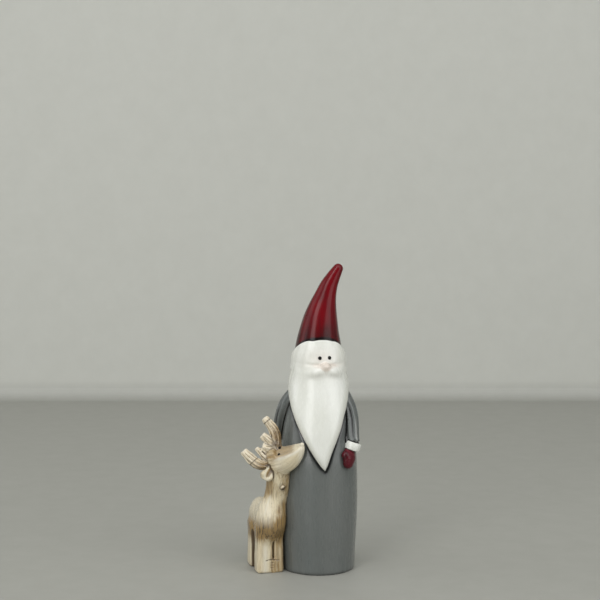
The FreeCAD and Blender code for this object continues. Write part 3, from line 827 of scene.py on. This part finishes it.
class Arm:
    """A sleeve with its cuff and its mitten."""

    def __init__(self, name):
        spec = ARMS[name]
        self.name = name
        self.along = np.array(spec["along"]) / np.linalg.norm(spec["along"])
        self.cuff = np.array(around(*spec["cuff"]))
        outwards = np.array(around(spec["cuff"][0], 1.0, 0.0))
        stations = [(*around(*row[:3]), row[3]) for row in spec["sleeve"]]
        stations.append((*(self.cuff - self.along * 1.2), CUFF_RADIUS - 0.5))
        self.sleeve = Limb(stations, outwards, flat_end=True)
        palm = [(*around(*row[:3]), *row[3:]) for row in spec["palm"]]
        self.palm = Limb(palm, np.cross(outwards, (0, 0, 1)))
        self.thumb = Limb([(*around(*row[:3]), row[3]) for row in spec["thumb"]], outwards)

    def folds(self, P):
        """The long creases of the sleeve: above zero in their bottoms."""
        g = self.sleeve.grain(P)
        wave = np.sin(g[:, 1] * 1.7 + 0.6 + 0.05 * g[:, 0]) + 0.5 * np.sin(g[:, 1] * 0.8 - g[:, 0] * 0.1)
        return wave * step_up(g[:, 0], 3, 12)

    def sleeve_field(self, P):
        return self.sleeve.field(P) + 0.24 * self.folds(P)

    def past_cuff(self, P):
        return (P - self.cuff) @ self.along

    def cuff_field(self, P):
        w = self.past_cuff(P)
        r = np.linalg.norm(P - self.cuff - w[:, None] * self.along, axis=1)
        barrel = r - CUFF_RADIUS - 0.12 * np.cos(w * 1.2) + 0.06 * bumps(P, 5.0, 8)
        return smooth_max(barrel, np.abs(w) - CUFF_LENGTH / 2 + 0.04 * bumps(P, 4.0, 9), CUFF_ROUNDING)

    def mitten_field(self, P):
        return smooth_min(self.palm.field(P), self.thumb.field(P), 1.8) + 0.05 * bumps(P, 6.0, 5)

    def add(self, part, skinned, attributes, slot, mat):
        add_mesh([f"{self.name}_{part}"], *skinned, attributes, slot, mat)

    def build(self, coat_mat, white_mat, mitten_mat):
        rows = self.sleeve.rows[:, :3]
        skinned = skin(self.sleeve_field, rows.min(0) - 6, rows.max(0) + 6, SKIN_STEP)
        V = skinned[0]
        folds = self.folds(V)
        line = step_down(turned(V, COAT_SIDE), 0.25, 1.0)
        line = np.maximum(line, step_up(self.past_cuff(V), -CUFF_LENGTH / 2 - 0.9, -CUFF_LENGTH / 2 - 0.3))
        # The sleeve's folds get painted shade in their bottoms, in line and shade, and a painted highlight on
        # their ridges, in pale.
        attributes = {
            "line": np.maximum(line, 0.6 * step_up(folds, 0.7, 1.3)),
            "shade": 0.45 * step_up(folds, -0.6, 0.8),
            "pale": 0.7 * step_up(-folds, 0.8, 1.3),
        }
        self.add("sleeve", skinned, attributes, "coat_glaze", coat_mat)

        skinned = skin(self.cuff_field, self.cuff - 6.5, self.cuff + 6.5, 0.3)
        attributes = {key: np.zeros(len(skinned[0])) for key in ("crease", "blush", "line")}
        attributes["shade"] = 0.12 * step_up(bumps(skinned[0], 5, 2), -0.5, 1)
        self.add("cuff", skinned, attributes, "hair_glaze", white_mat)

        rows = self.palm.rows[:, :3]
        skinned = skin(self.mitten_field, rows.min(0) - 6, rows.max(0) + 6, 0.28)
        V = skinned[0]
        # Painted shade, near black, where the mitten goes into the cuff and between thumb and palm; below,
        # painted shade where it lies against the coat.
        line = 0.8 - 0.8 * step_up(self.past_cuff(V) - CUFF_LENGTH / 2, 0.0, 0.4)
        line = np.maximum(line, 0.5 * seam([self.palm.field(V), self.thumb.field(V)], 0.5))
        attributes = {"line": line, "shade": 0.6 * step_down(turned(V, COAT_SIDE), 0.3, 1.5)}
        self.add("mitten", skinned, attributes, "mitten_glaze", mitten_mat)


def coat_skin(arms):
    """The coat's outer skin from the floor section up: points in rows, and their dark lines and shade."""
    front = np.linspace(-110, 110, 250)
    back = np.linspace(110, 250, 60)[1:-1]
    angles = np.radians(np.concatenate([front, back]))
    rows = smooth_line(COAT_SIDE, 32)
    foot_edge = [(18.6, 0.0), (19.6, 0.12), (20.1, 0.5), (20.28, 1.1)]
    rows = np.array(foot_edge + [tuple(row) for row in rows if row[1] > 1.6])
    r, a = np.meshgrid(rows[:, 0], angles, indexing="ij")
    z = np.repeat(rows[:, 1][:, None], len(angles), 1)
    V = np.stack([r * np.sin(a), -r * np.cos(a), z], -1).reshape(-1, 3)
    side = outline(V[:, 0], V[:, 2], OUTLINE)
    width = 0.75 + 0.5 * step_down(V[:, 2], 58, 74)
    line = np.where(V[:, 1] < 0, bell(side - 0.3, width), 0.0)
    # Painted shade beside the beard.
    shade = np.where(V[:, 1] < 0, 0.5 * bell(side - 0.6, 2.2), 0.0)
    for arm in arms:
        near = arm.sleeve.field(V)
        below = step_up(V[:, 2], 69.0, 72.0)
        line = np.maximum(line, bell(near - 0.1, 0.5) * below)
        # Painted shade beside the sleeves.
        shade = np.maximum(shade, 0.6 * bell(near - 0.3, 1.8))
    depth = 0.42 * line + 0.07 * bumps(V, 30.0, 3) * step_up(V[:, 2], 3, 9)
    V[:, :2] *= (1 - depth / np.hypot(V[:, 0], V[:, 1]))[:, None]
    # Painted shadow round the foot, where it stands on the floor.
    return V, rows, angles, line, np.maximum(shade, 0.4 * step_down(V[:, 2], 0.2, 3.0))


def lathe(rings, columns):
    """Quads between rings of points, closed on themselves both ways round."""
    a = np.arange(columns)
    b = (a + 1) % columns
    faces = []
    for i in range(rings):
        j = (i + 1) % rings
        faces.append(np.stack([i * columns + a, i * columns + b, j * columns + b, j * columns + a], 1))
    return np.concatenate(faces)


def lathe_normals(V, columns):
    """Normals of an open run of rings, which point away from it on the side that an upward run shows."""
    grid = V.reshape(-1, columns, 3)
    around_ring = np.roll(grid, -1, axis=1) - np.roll(grid, 1, axis=1)
    N = np.cross(around_ring, np.gradient(grid, axis=0)).reshape(-1, 3)
    return N / np.maximum(np.linalg.norm(N, axis=1), 1e-9)[:, None]


def build_coat(arms, mat):
    """The coat's wall and its floor with the drain hole: two closed solids that meet at the floor's top."""
    V, rows, angles, line, shade = coat_skin(arms)
    columns = len(angles)
    joint = int(np.searchsorted(rows[:, 1], FLOOR_THICKNESS))
    level = rows[joint, 1]
    inner_radius = COAT_SIDE[0][0] - COAT_WALL

    def rings(profile):
        return np.concatenate([[(r * np.sin(a), -r * np.cos(a), z) for a in angles] for r, z in profile])

    def add(nodes, rest, first, last):
        own = slice(first * columns, last * columns)
        blank = np.zeros(len(rest))
        values = {"line": np.concatenate([line[own], blank]), "shade": np.concatenate([shade[own], blank])}
        points = np.concatenate([V[own], rest])
        normals = np.concatenate([lathe_normals(V, columns)[own], lathe_normals(rest, columns)])
        add_mesh(nodes, points, lathe(len(points) // columns, columns), normals, values, "coat_glaze", mat)

    inside = [(6.9, 101.0), (4.0, 99.0)] + [(r - COAT_WALL, z) for r, z in COAT_SIDE[-2:0:-1]]
    add(["coat", "neck"], rings(inside + [(inner_radius, level)]), joint, len(rows))
    mouth = [(DRAIN_RADIUS, level), (DRAIN_RADIUS, 0.5), (DRAIN_RADIUS + 0.1, 0.2), (DRAIN_RADIUS + 0.5, 0.0)]
    under = rings([(inner_radius, level)] + mouth + [(12.0, 0.0), (17.5, 0.0)])
    add(["coat_floor"], under, 0, joint + 1)


def build_tomte(black_mat):
    coat_mat, white_mat = coat_material(), white_material()
    hat_mat = red_material("hat_glaze", (0.175, 0.001, 0.005), (0.085, 0.001, 0.004), (0.015, 0.004, 0.004))
    mitten_colours = (0.12, 0.008, 0.016), (0.05, 0.006, 0.009), (0.018, 0.006, 0.007)
    mitten_mat = red_material("mitten_glaze", *mitten_colours)
    arms = [Arm(name) for name in ARMS]
    build_coat(arms, coat_mat)
    build_white(white_mat)
    build_eyes(black_mat)
    build_hat(hat_mat)
    for arm in arms:
        arm.build(coat_mat, white_mat, mitten_mat)


# ---------------------------------------------------------------- the deer

DEER_CENTRE = (-30.2, -3.0)
DEER_HEADING = math.radians(16.0)
ACROSS = np.array((math.cos(DEER_HEADING), math.sin(DEER_HEADING), 0))
FORWARD = np.array((math.sin(DEER_HEADING), -math.cos(DEER_HEADING), 0))


def stand(row):
    """A row drawn facing -Y about the deer's own centre, in its place."""
    x, y = np.array(DEER_CENTRE) + ACROSS[:2] * row[0] - FORWARD[:2] * row[1]
    return (x, y, *row[2:])


def from_centre(P):
    """How far points are across the deer's centre and ahead of it."""
    q = P - np.array(stand((0, 0, 0.0)))
    return q @ ACROSS, q @ FORWARD


TRUNK_RUN = [
    (0.4, 12.5, 27.4, 5.8, 9.2), (0.4, 8.5, 27.8, 6.6, 10.5), (0.4, 2.0, 27.4, 6.6, 10.2),
    (0.6, -4.0, 28.0, 6.8, 10.6), (0.8, -8.4, 28.6, 6.9, 11.0), (0.8, -11.4, 28.8, 6.2, 9.2),
]
LEGS = {
    "front_left": (5.3, -7.6, 3.1, 4.8),
    "front_right": (-2.3, -7.6, 4.6, 4.8),
    "rear_left": (4.1, 7.4, 3.6, 5.0),
    "rear_right": (-3.4, 7.4, 3.7, 5.0),
}
LEG_HEIGHT = 25.0
LEG_CORNER = 2.3
TAIL_RUN = [(0.0, 14.5, 31.0, 1.6, 1.4), (0.0, 18.2, 31.4, 2.0, 1.4), (0.0, 21.0, 29.6, 1.3, 0.9)]
NECK_RUN = [
    (-25.2, -9.0, 31.0, 6.0, 7.0), (-23.8, -9.8, 39.0, 5.9, 6.6), (-22.5, -11.6, 46.5, 6.6, 6.4),
    (-22.0, -13.8, 54.0, 6.2, 5.8), (-21.4, -15.6, 60.0, 5.0, 5.0),
]
HEAD_RUN = [
    (-24.0, -14.2, 62.6, 4.9, 6.4), (-20.9, -16.4, 63.6, 5.6, 8.0), (-17.2, -18.6, 65.2, 5.3, 7.5),
    (-14.0, -20.4, 67.6, 4.5, 6.0), (-11.6, -21.7, 70.2, 3.4, 4.3), (-10.5, -22.3, 71.6, 2.5, 3.1),
]
HEAD_ACROSS = (-0.4, -0.9, 0.0)
NAPE_RUN = [(-24.2, -13.8, 60.5, 4.2), (-24.6, -13.2, 66.5, 3.4)]
NEAR_EYE = (-21.6, -20.0, 67.0)
FAR_EYE = (-21.5, -14.6, 69.3)
MUZZLE = (-8.6, -23.4, 73.2)
KNOT = (-19.6, -18.2, 48.4)
ANTLERS = {
    "left": [
        [
            (-24.4, -12.8, 67.0, 3.2), (-23.4, -11.8, 73.0, 2.9),
            (-24.9, -10.9, 79.4, 2.7), (-29.8, -9.7, 85.6, 1.9),
        ],
        [(-23.6, -12.4, 70.6, 2.6), (-27.2, -12.2, 73.2, 2.5), (-31.0, -12.0, 76.4, 1.8)],
        [(-24.4, -13.0, 69.2, 2.3), (-28.0, -13.2, 69.2, 2.4), (-31.0, -13.4, 70.0, 2.2)],
    ],
    "right": [
        [
            (-25.6, -15.6, 61.8, 2.4), (-30.6, -15.2, 60.3, 2.7),
            (-35.6, -14.2, 62.2, 2.8), (-41.2, -12.8, 67.8, 2.1),
        ],
        [(-27.6, -15.0, 63.2, 1.7), (-30.8, -14.2, 66.0, 1.7), (-34.2, -13.4, 69.4, 1.3)],
    ],
}
EARS = {
    "left": [
        (-23.2, -11.2, 61.8, 1.2, 0.9), (-24.6, -9.4, 59.8, 2.6, 1.0), (-26.0, -7.8, 56.8, 3.2, 1.0),
        (-26.6, -7.2, 54.8, 2.3, 0.8),
    ],
    "right": [
        (-25.6, -17.8, 60.4, 1.2, 0.9), (-27.0, -18.9, 57.6, 2.4, 1.1), (-28.3, -19.4, 55.2, 3.7, 1.1),
        (-29.0, -19.2, 53.6, 3.0, 0.9),
    ],
}
EAR_ACROSS = {"left": (0.6, 0.7, 0.1), "right": (0.86, -0.1, -0.45)}
KNEE_CREASE = 7.2
DEER_EYE_RADIUS = 0.75


class Deer:
    """The deer's forms by node name, and how they flow into one another."""

    def __init__(self):
        self.limbs = {
            "deer_body": [Limb([stand(row) for row in TRUNK_RUN], ACROSS)],
            "deer_neck": [Limb(NECK_RUN, (1, 0, 0))],
            "deer_head": [Limb(HEAD_RUN, HEAD_ACROSS), Limb(NAPE_RUN, (0, 1, 0))],
            "deer_tail": [Limb([stand(row) for row in TAIL_RUN], ACROSS)],
        }
        for side in SIDES:
            self.limbs[f"deer_{side}_antler"] = [Limb(run, (0, 1, 0), flat_end=True) for run in ANTLERS[side]]
            self.limbs[f"deer_{side}_ear"] = [Limb(EARS[side], EAR_ACROSS[side])]
        self.legs = {f"deer_{name}_leg": spec for name, spec in LEGS.items()}
        self.names = list(self.limbs) + list(self.legs)
        self.crown = np.cross(np.array(FAR_EYE) - NEAR_EYE, np.array(MUZZLE) - NEAR_EYE)
        self.crown /= -np.linalg.norm(self.crown)

    def leg(self, P, spec):
        x, y, wide, deep = spec
        q = P - np.array(stand((x, y, 0.0)))
        taper = 0.25 * step_up(P[:, 2], 2, 18)
        du = np.abs(q @ ACROSS) - (wide - taper - LEG_CORNER)
        dv = np.abs(q @ FORWARD) - (deep - taper - LEG_CORNER)
        post = np.hypot(np.maximum(du, 0), np.maximum(dv, 0)) + np.minimum(np.maximum(du, dv), 0) - LEG_CORNER
        return smooth_max(smooth_max(post, -P[:, 2], 1.6), P[:, 2] - LEG_HEIGHT, 2.0)

    def above_crown(self, P):
        """How far a point is above the flat top of the head, which runs from the brow to the muzzle."""
        return (P - np.array(NEAR_EYE)) @ self.crown

    def ear_place(self, P, side):
        """Across, along and out of an ear's leaf, from its middle."""
        start, along, across, rise = self.limbs[f"deer_{side}_ear"][0].spans[5][:4]
        q = P - start
        out = rise if rise[1] < 0 else -rise
        return q @ across, q @ along, q @ out

    def past_cut(self, P, side, beams):
        """How far a point is past the cut end of the antler beam that it lies on."""
        limbs = self.limbs[f"deer_{side}_antler"]
        return np.max([limb.past_end(P) - 40 * (near > 0.9) for limb, near in zip(limbs, beams)], 0)

    def forms(self, P):
        made = {}
        for name, limbs in self.limbs.items():
            d = limbs[0].field(P)
            for limb in limbs[1:]:
                d = smooth_min(d, limb.field(P), 1.4)
            made[name] = d
        for name, spec in self.legs.items():
            made[name] = self.leg(P, spec)
        crown = self.above_crown(P) - 2.4 * step_up(-P[:, 0], 22.5, 25.5)
        made["deer_head"] = smooth_max(made["deer_head"], crown, 0.9)
        for side in SIDES:
            u, w, out = self.ear_place(P, side)
            cup = bell(u - 0.4, 1.3) * plateau(w, -5.5, -2.5, 1.5, 4.5) * (out > -0.1)
            made[f"deer_{side}_ear"] += cup
        return made

    def blend(self, made, P):
        z = P[:, 2]
        front = smooth_min(made["deer_front_left_leg"], made["deer_front_right_leg"], 0.25)
        joined = smooth_min(made["deer_front_left_leg"], made["deer_front_right_leg"], 3.0)
        front = joined + (front - joined) * plateau(z, 7.0, 8.6, 16.5, 19.0)
        rear = smooth_min(made["deer_rear_left_leg"], made["deer_rear_right_leg"], 0.5)
        ahead = from_centre(P)[1]
        d = smooth_min(made["deer_body"], made["deer_neck"], 3.2 + 6.0 * step_up(ahead, 4.0, 10.0))
        d = smooth_min(d, smooth_min(front, rear, 0.5), 3.6)
        d = smooth_min(d, made["deer_head"], 2.6)
        d = smooth_min(d, made["deer_tail"], 1.0)
        for side in SIDES:
            d = smooth_min(d, made[f"deer_{side}_antler"], 2.0)
            d = smooth_min(d, made[f"deer_{side}_ear"], 0.7)
        return d

    def field(self, P):
        return self.blend(self.forms(P), P)

    def grain(self, P):
        """Millimetres along and around the nearest form, for the carved grain, and a number for the form."""
        upright = [self.limbs["deer_body"][0].field(P), self.limbs["deer_neck"][0].field(P)]
        upright += [self.leg(P, spec) for spec in self.legs.values()]
        best = np.min(upright, 0)
        across, ahead = from_centre(P)
        out = np.stack([P[:, 2], across, 0.8 * ahead], 1)
        for i, (name, limbs) in enumerate(self.limbs.items()):
            if name in ("deer_body", "deer_neck"):
                continue
            for limb in limbs:
                d = limb.field(P)
                closer = d < best
                best[closer] = d[closer]
                out[closer, :2] = limb.grain(P[closer])
                out[closer, 2] = 9.0 * (i + 1)
        return out

    def tool_marks(self, g):
        """Ridges and hollows that run lengthwise, from a point's grain."""
        return np.sin(g[:, 1] * 3.1 + 0.8 * np.sin(g[:, 0] * 0.45 + g[:, 2]) + g[:, 2])

    def carved(self, P):
        """The deer with its lengthwise tool marks and the crease across its front legs."""
        made = self.forms(P)
        d = self.blend(made, P)
        g = self.grain(P)
        marks = self.tool_marks(g) + 0.6 * np.sin(g[:, 1] * 5.3 + 1.1 * np.sin(g[:, 0] * 0.3) + 2)
        antler = np.minimum(made["deer_left_antler"], made["deer_right_antler"])
        rest = np.minimum(made["deer_head"], made["deer_neck"])
        depth = 0.05 + 0.13 * step_up(rest - antler, -0.3, 0.6)
        for side in SIDES:
            beams = [limb.field(P) for limb in self.limbs[f"deer_{side}_antler"]]
            depth = depth * (1 - 0.8 * step_up(self.past_cut(P, side, beams), -1.5, -0.3))
        depth = np.where(made["deer_head"] < 0.3, 0.03, depth)
        gnarl = 0.22 * bumps(P, 6.0, 17) * step_up(rest - antler, -0.3, 0.8)
        return d + depth * marks + gnarl + 0.3 * self.knee(P) + 0.07 * bumps(P, 9.0, 11)

    def knee(self, P):
        """1 along the thin crease across the front legs."""
        across, ahead = from_centre(P)
        height = KNEE_CREASE + 0.25 * np.sin(P[:, 0] * 0.9)
        line = bell(P[:, 2] - height, 0.3) * plateau(across, -2.8, -1.8, 4.9, 5.9)
        for level in (5.5, 4.2, 2.9):
            line = np.maximum(line, 0.8 * bell(P[:, 2] - level, 0.25) * bell(across - 1.4, 0.9))
        return line * step_up(ahead, 6.0, 9.0)

    def shading(self, P, N):
        """How much brown wash, dark lines and cream each point has, given its normal; painted shade is laid
        into the first two and painted highlights into the cream.
        """
        made = self.forms(P)
        x, z = P[:, 0], P[:, 2]
        across, ahead = from_centre(P)
        above_crown = self.above_crown(P)
        front = step_up(ahead, 1.0, 5.0)
        # A brown band low on the body: painted shade under the belly, and the wash's drips.
        wash = 0.05 + 1.3 * bell(z - 22.5 - 1.8 * front, 5.4)
        wash = wash + front * 0.38 * step_up(across, -1.5, 2.0) * step_down(z, 16, 22)
        slant = step_up(across - 0.22 * (z - 26), 0.0, 3.0)
        wash = wash + 0.55 * front * slant * plateau(z, 20, 26, 38, 44)
        wash = wash + 0.1 * step_down(z, 2, 12)
        # Painted shade towards both sides of the neck.
        sides = 0.5 * step_up(-22.6 - x, 1.0, 5.0) + 0.35 * step_up(x + 22.6, 1.0, 5.0) + 0.16
        wash = wash + sides * step_up(z, 40, 46)
        # A painted highlight down the chest.
        chest_highlight = bell(x + 26.6 + 0.32 * (43.0 - z), 0.55) * plateau(z, 31, 34, 42, 45)
        back = 0.3 * plateau(z, 25, 29, 38, 42) * step_down(across, -1.0, 2.0)
        pale = np.maximum(0.8 * chest_highlight * front, back)
        # A painted highlight down the front of a front leg.
        pale = np.maximum(pale, 0.7 * front * bell(across + 2.6, 1.5) * step_down(z, 13, 19))
        head = made["deer_head"] < np.minimum(made["deer_neck"], 0.8)
        crown = step_up(above_crown, -0.9, -0.2)
        behind = step_down(x, -26.5, -21.0)
        jaw = 0.1 * step_up(above_crown, -4.5, -8.0)
        top = 0.95 * crown * step_up(-x, 11.5, 16.0) + 0.4 * crown * step_up(-x, 17.0, 19.5)
        wash = np.where(head, top * (1 - behind) + (0.36 + 0.25 * crown) * behind + jaw - 0.08, wash)
        # A painted highlight along the edge between the top of the head and its side.
        ridge_highlight = 0.9 * bell(above_crown + 0.9, 0.8)
        cheek = 0.45 * bell_at(P, (-22.5, -21.0, 62.5), (3.0, 4.0, 3.0))
        bare_and_highlight = np.maximum.reduce([ridge_highlight, cheek, 0.7 * step_up(x, -12.5, -9.5)])
        pale = np.where(head, bare_and_highlight * (1 - behind), pale)
        # Painted shade in the knee crease, in the slits between the legs and in the gap behind the front
        # legs.
        crease = self.knee(P)
        groove = seam([made[name] for name in self.legs], 0.75)
        crease = np.maximum(crease, groove * plateau(z, 7.0, 8.6, 16.5, 19.5))
        rear = np.minimum(made["deer_rear_right_leg"], made["deer_rear_left_leg"]) < 0.8
        inner = step_up(np.where(across < 0, across + 6.4, 6.6 - across), -0.4, 0.4)
        crease = np.maximum(crease, rear * inner * plateau(-ahead, 0, 2, 3.6, 5.0) * (z < 22))
        rest = np.minimum(made["deer_head"], made["deer_neck"])
        marks = self.tool_marks(self.grain(P))
        for side in SIDES:
            antler, ear = made[f"deer_{side}_antler"], made[f"deer_{side}_ear"]
            limbs = self.limbs[f"deer_{side}_antler"]
            beams = [limb.field(P) for limb in limbs]
            on_antler = (antler < rest) & (antler < 0.9)
            ends = self.past_cut(P, side, beams)
            # Painted shade where the antler's beams meet, and where the antlers meet the head.
            crease = np.maximum(crease, 0.6 * seam(beams, 0.7) * (antler < 0.8) * (ends < -1))
            crease = np.maximum(crease, 0.45 * bell(antler - rest, 0.6) * (antler < 1.2) * (rest < 1.5))
            patchy = 0.5 + 0.5 * bumps(P, 7.0, 23)
            dark = np.clip(patchy, 0.5, 1.0) * step_up(marks, 0.3, 0.95) * step_down(ends, -3.0, -1.0)
            crease = np.maximum(crease, on_antler * dark)
            # Painted shade on the antlers' undersides, from their normals.
            crease = np.maximum(crease, 0.5 * on_antler * step_up(-N[:, 2], 0.0, 0.8) * step_up(-ends, 3, 8))
            # Painted shade where the ear meets the head.
            crease = np.maximum(crease, bell(ear - rest, 0.7) * (ear < 1.3) * (rest < 1.6))
            reach = 7.5 if side == "right" else 4.5
            wash = np.where(on_antler, 0.7 - 0.7 * step_up(ends, -reach - 7.0, -reach + 1.0), wash)
            bare_and_highlight = 0.45 * step_up(ends, -reach - 1.0, -reach + 1.0) * step_up(-marks, -0.6, 0.6)
            bare_and_highlight = np.maximum(0.7 * step_up(ends, -1.4, -0.2), bare_and_highlight)
            pale = np.where(on_antler, bare_and_highlight, pale)
            notch = 8.2 if side == "right" else 2.6
            cut = bell(limbs[0].past_end(P) + notch, 0.35) * (beams[0] < 0.8)
            crease = np.maximum(crease, 0.8 * cut * on_antler)
            u, w, out = self.ear_place(P, side)
            on_ear = (ear < rest) & (ear < 0.6)
            from_cup = np.hypot((u - 0.4) / 1.7, (w + 0.6) / 4.2)
            leaf = step_down(from_cup, 0.55, 1.0) * (out > -0.1)
            rim = bell(from_cup - 1.15, 0.22)
            wash = np.where(on_ear, 0.08 + 0.7 * leaf - 0.3 * rim, wash)
            pale = np.where(on_ear, 0.7 * rim, pale)
            crease = np.maximum(crease, 0.45 * on_ear * bell(u - 0.2, 0.5) * leaf)
            # Painted shade towards the ear's outer edge.
            crease = np.maximum(crease, 0.3 * on_ear * step_up(np.hypot(u / 3.3, w / 4.6), 0.85, 1.1))
        # Painted shade round the knot where it meets the neck.
        ring = np.linalg.norm(P - np.array(KNOT), axis=1)
        crease = np.maximum(crease, 0.6 * bell(ring - 1.5, 0.5) + 0.3 * bell(ring - 2.6, 0.3))
        return {"wash": wash, "crease": np.clip(crease, 0, 1), "pale": np.clip(pale, 0, 1)}


def build_deer(black_mat):
    deer_mat = deer_material("deer_glaze", (0.72, 0.63, 0.44), (0.34, 0.225, 0.09), (0.065, 0.037, 0.013))
    antler_mat = deer_material("antler_glaze", (0.76, 0.65, 0.46), (0.34, 0.225, 0.10), (0.05, 0.028, 0.011))
    deer = Deer()
    V, Q, N = skin(deer.field, (-46, -27, -1), (-5, 22, 90), 0.32, detail=deer.carved)
    V[:, 2] = np.maximum(V[:, 2], 0.0)
    made = deer.forms(V)
    labels = np.stack([made[name][Q].mean(1) for name in deer.names]).argmin(0)
    labels = tidy_labels(Q, labels, len(V), len(deer.names))
    attributes = deer.shading(V, N)
    attributes["grain"] = deer.grain(V)
    for i, name in enumerate(deer.names):
        antler = name.endswith("antler")
        slot, mat = ("antler_glaze", antler_mat) if antler else ("deer_glaze", deer_mat)
        add_mesh([name], *cut_out(V, Q, N, attributes, labels == i), slot, mat)
    for side, near in zip(SIDES, (FAR_EYE, NEAR_EYE)):
        bead(f"deer_{side}_eye", deer.field, near, DEER_EYE_RADIUS, "eye_glaze", black_mat)
    muzzle = {"wash": 0.05, "crease": 0.0, "pale": 0.7}
    bead("deer_nose", deer.field, (-9.2, -23.2, 73.0), 1.2, "deer_glaze", deer_mat, muzzle)
    # The knot's bead gets painted shade on its lower side.
    knot = {"wash": 0.5, "crease": lambda q: step_up(0.6 * q[:, 0] - q[:, 2], -0.5, 0.5), "pale": 0.35}
    bead("deer_neck_knot", deer.field, KNOT, 1.25, "deer_glaze", deer_mat, knot)


# ---------------------------------------------------------------- floor, light and camera

WALL_BEHIND = 0.64
COVE = 0.015
ROOM_NEAR = 0.06
ROOM_FAR = 0.56
# Each softbox: azimuth, elevation, distance, size and radiance.
SOFTBOXES = {
    "left_window": (-29, 18, 1.2, (0.50, 1.3), 2.6),
    "right_window": (52, 18, 1.2, (0.85, 1.3), 1.45),
    "left_wall": (-88, 12, 1.2, (0.8, 1.3), 0.9),
    "ceiling": (0, 60, 1.5, (1.8, 1.1), 1.6),
}
LENS = 80.0
SENSOR = 36.0
CAMERA_PLACE = (-10.2, -736.0, 202.2)
CAMERA_PITCH = 4.08


def build_stage():
    """A pale floor that turns up into a plain wall behind the figure."""
    angles = np.linspace(0, math.pi / 2, 9)
    turn = [(WALL_BEHIND - COVE + COVE * math.sin(a), COVE - COVE * math.cos(a)) for a in angles]
    path = [(-3.0, 0.0), (-0.5, 0.0)] + turn + [(WALL_BEHIND, 0.5), (WALL_BEHIND, 2.6)]
    points = [(x, y, z) for y, z in path for x in (-3.5, 3.5)]
    faces = [(2 * i, 2 * i + 1, 2 * i + 3, 2 * i + 2) for i in range(len(path) - 1)]
    mesh = bpy.data.meshes.new("sweep")
    mesh.from_pydata(points, [], faces)
    sweep = bpy.data.objects.new("sweep", mesh)
    bpy.context.scene.collection.objects.link(sweep)
    s = Shader("pale_paint")
    p = s.place()
    grit = s.noise(p, 60, 4.0, 0.6)
    split = s.add("SeparateXYZ", {0: p})
    # The wall is painted lighter than the floor: painted light, for the stronger light that falls on the wall
    # from the front.
    upright = s.ramp(split.outputs["Z"], (0.0, 0.0), (0.02, 1.0))
    floor = s.ramp(grit, (0.3, (0.34, 0.34, 0.305)), (0.7, (0.36, 0.36, 0.325)))
    wall = s.ramp(grit, (0.3, (0.60, 0.605, 0.555)), (0.7, (0.62, 0.625, 0.575)))
    s.feed(s.bsdf.inputs["Base Color"], s.mix(upright, floor, wall))
    s.bsdf.inputs["Roughness"].default_value = 0.55
    mesh.materials.append(s.material)
    sweep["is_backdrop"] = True


def softbox(name, azimuth, elevation, distance, size, radiance):
    """A soft window aimed at the figure; azimuth 0 is in front of it and 90 on its left."""
    a, e = math.radians(azimuth), math.radians(elevation)
    aim = Vector((0, 0, 0.08))
    way = Vector((math.sin(a) * math.cos(e), -math.cos(a) * math.cos(e), math.sin(e)))
    light = bpy.data.lights.new(name, "AREA")
    light.shape = "RECTANGLE"
    light.size, light.size_y = size
    light.energy = radiance * math.pi * size[0] * size[1]
    window = bpy.data.objects.new(name, light)
    window.location = aim + way * distance
    window.rotation_euler = way.to_track_quat("Z", "Y").to_euler()
    bpy.context.scene.collection.objects.link(window)


def build_light():
    """Two tall windows and a soft ceiling, in a room that is dark on the near side."""
    world = bpy.data.worlds.new("studio")
    bpy.context.scene.world = world
    world.use_nodes = True
    tree = Tree(world.node_tree)
    split = tree.add("SeparateXYZ", {0: tree.add("TexCoord", {}).outputs["Generated"]})
    rise = tree.add("Math", {0: split.outputs["Z"], 1: 1.2, 2: split.outputs["Y"]}, operation="MULTIPLY_ADD")
    ends = {"From Min": -1.0, "From Max": 1.0, "To Min": ROOM_NEAR, "To Max": ROOM_FAR}
    room = tree.add("MapRange", {"Value": rise.outputs[0], **ends})
    background = tree.nodes["Background"]
    tree.feed(background.inputs["Color"], (0.97, 0.99, 1.0))
    tree.feed(background.inputs["Strength"], room.outputs[0])
    for name, row in SOFTBOXES.items():
        softbox(name, *row)


def build_camera():
    data = bpy.data.cameras.new("camera")
    data.lens = LENS
    data.sensor_width = SENSOR
    camera = bpy.data.objects.new("camera", data)
    camera.location = (FOOT + CAMERA_PLACE) * MM
    camera.rotation_euler = (math.radians(90 - CAMERA_PITCH), 0, 0)
    bpy.context.scene.collection.objects.link(camera)
    bpy.context.scene.camera = camera


bpy.context.scene.view_settings.view_transform = "Standard"
build_camera()
build_light()
build_stage()
black = black_material()
build_tomte(black)
build_deer(black)

boxes = {"cad": cad_bounds, "visual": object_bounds()}
{name: [list(map(float, corner)) for corner in box] for name, box in boxes.items()}
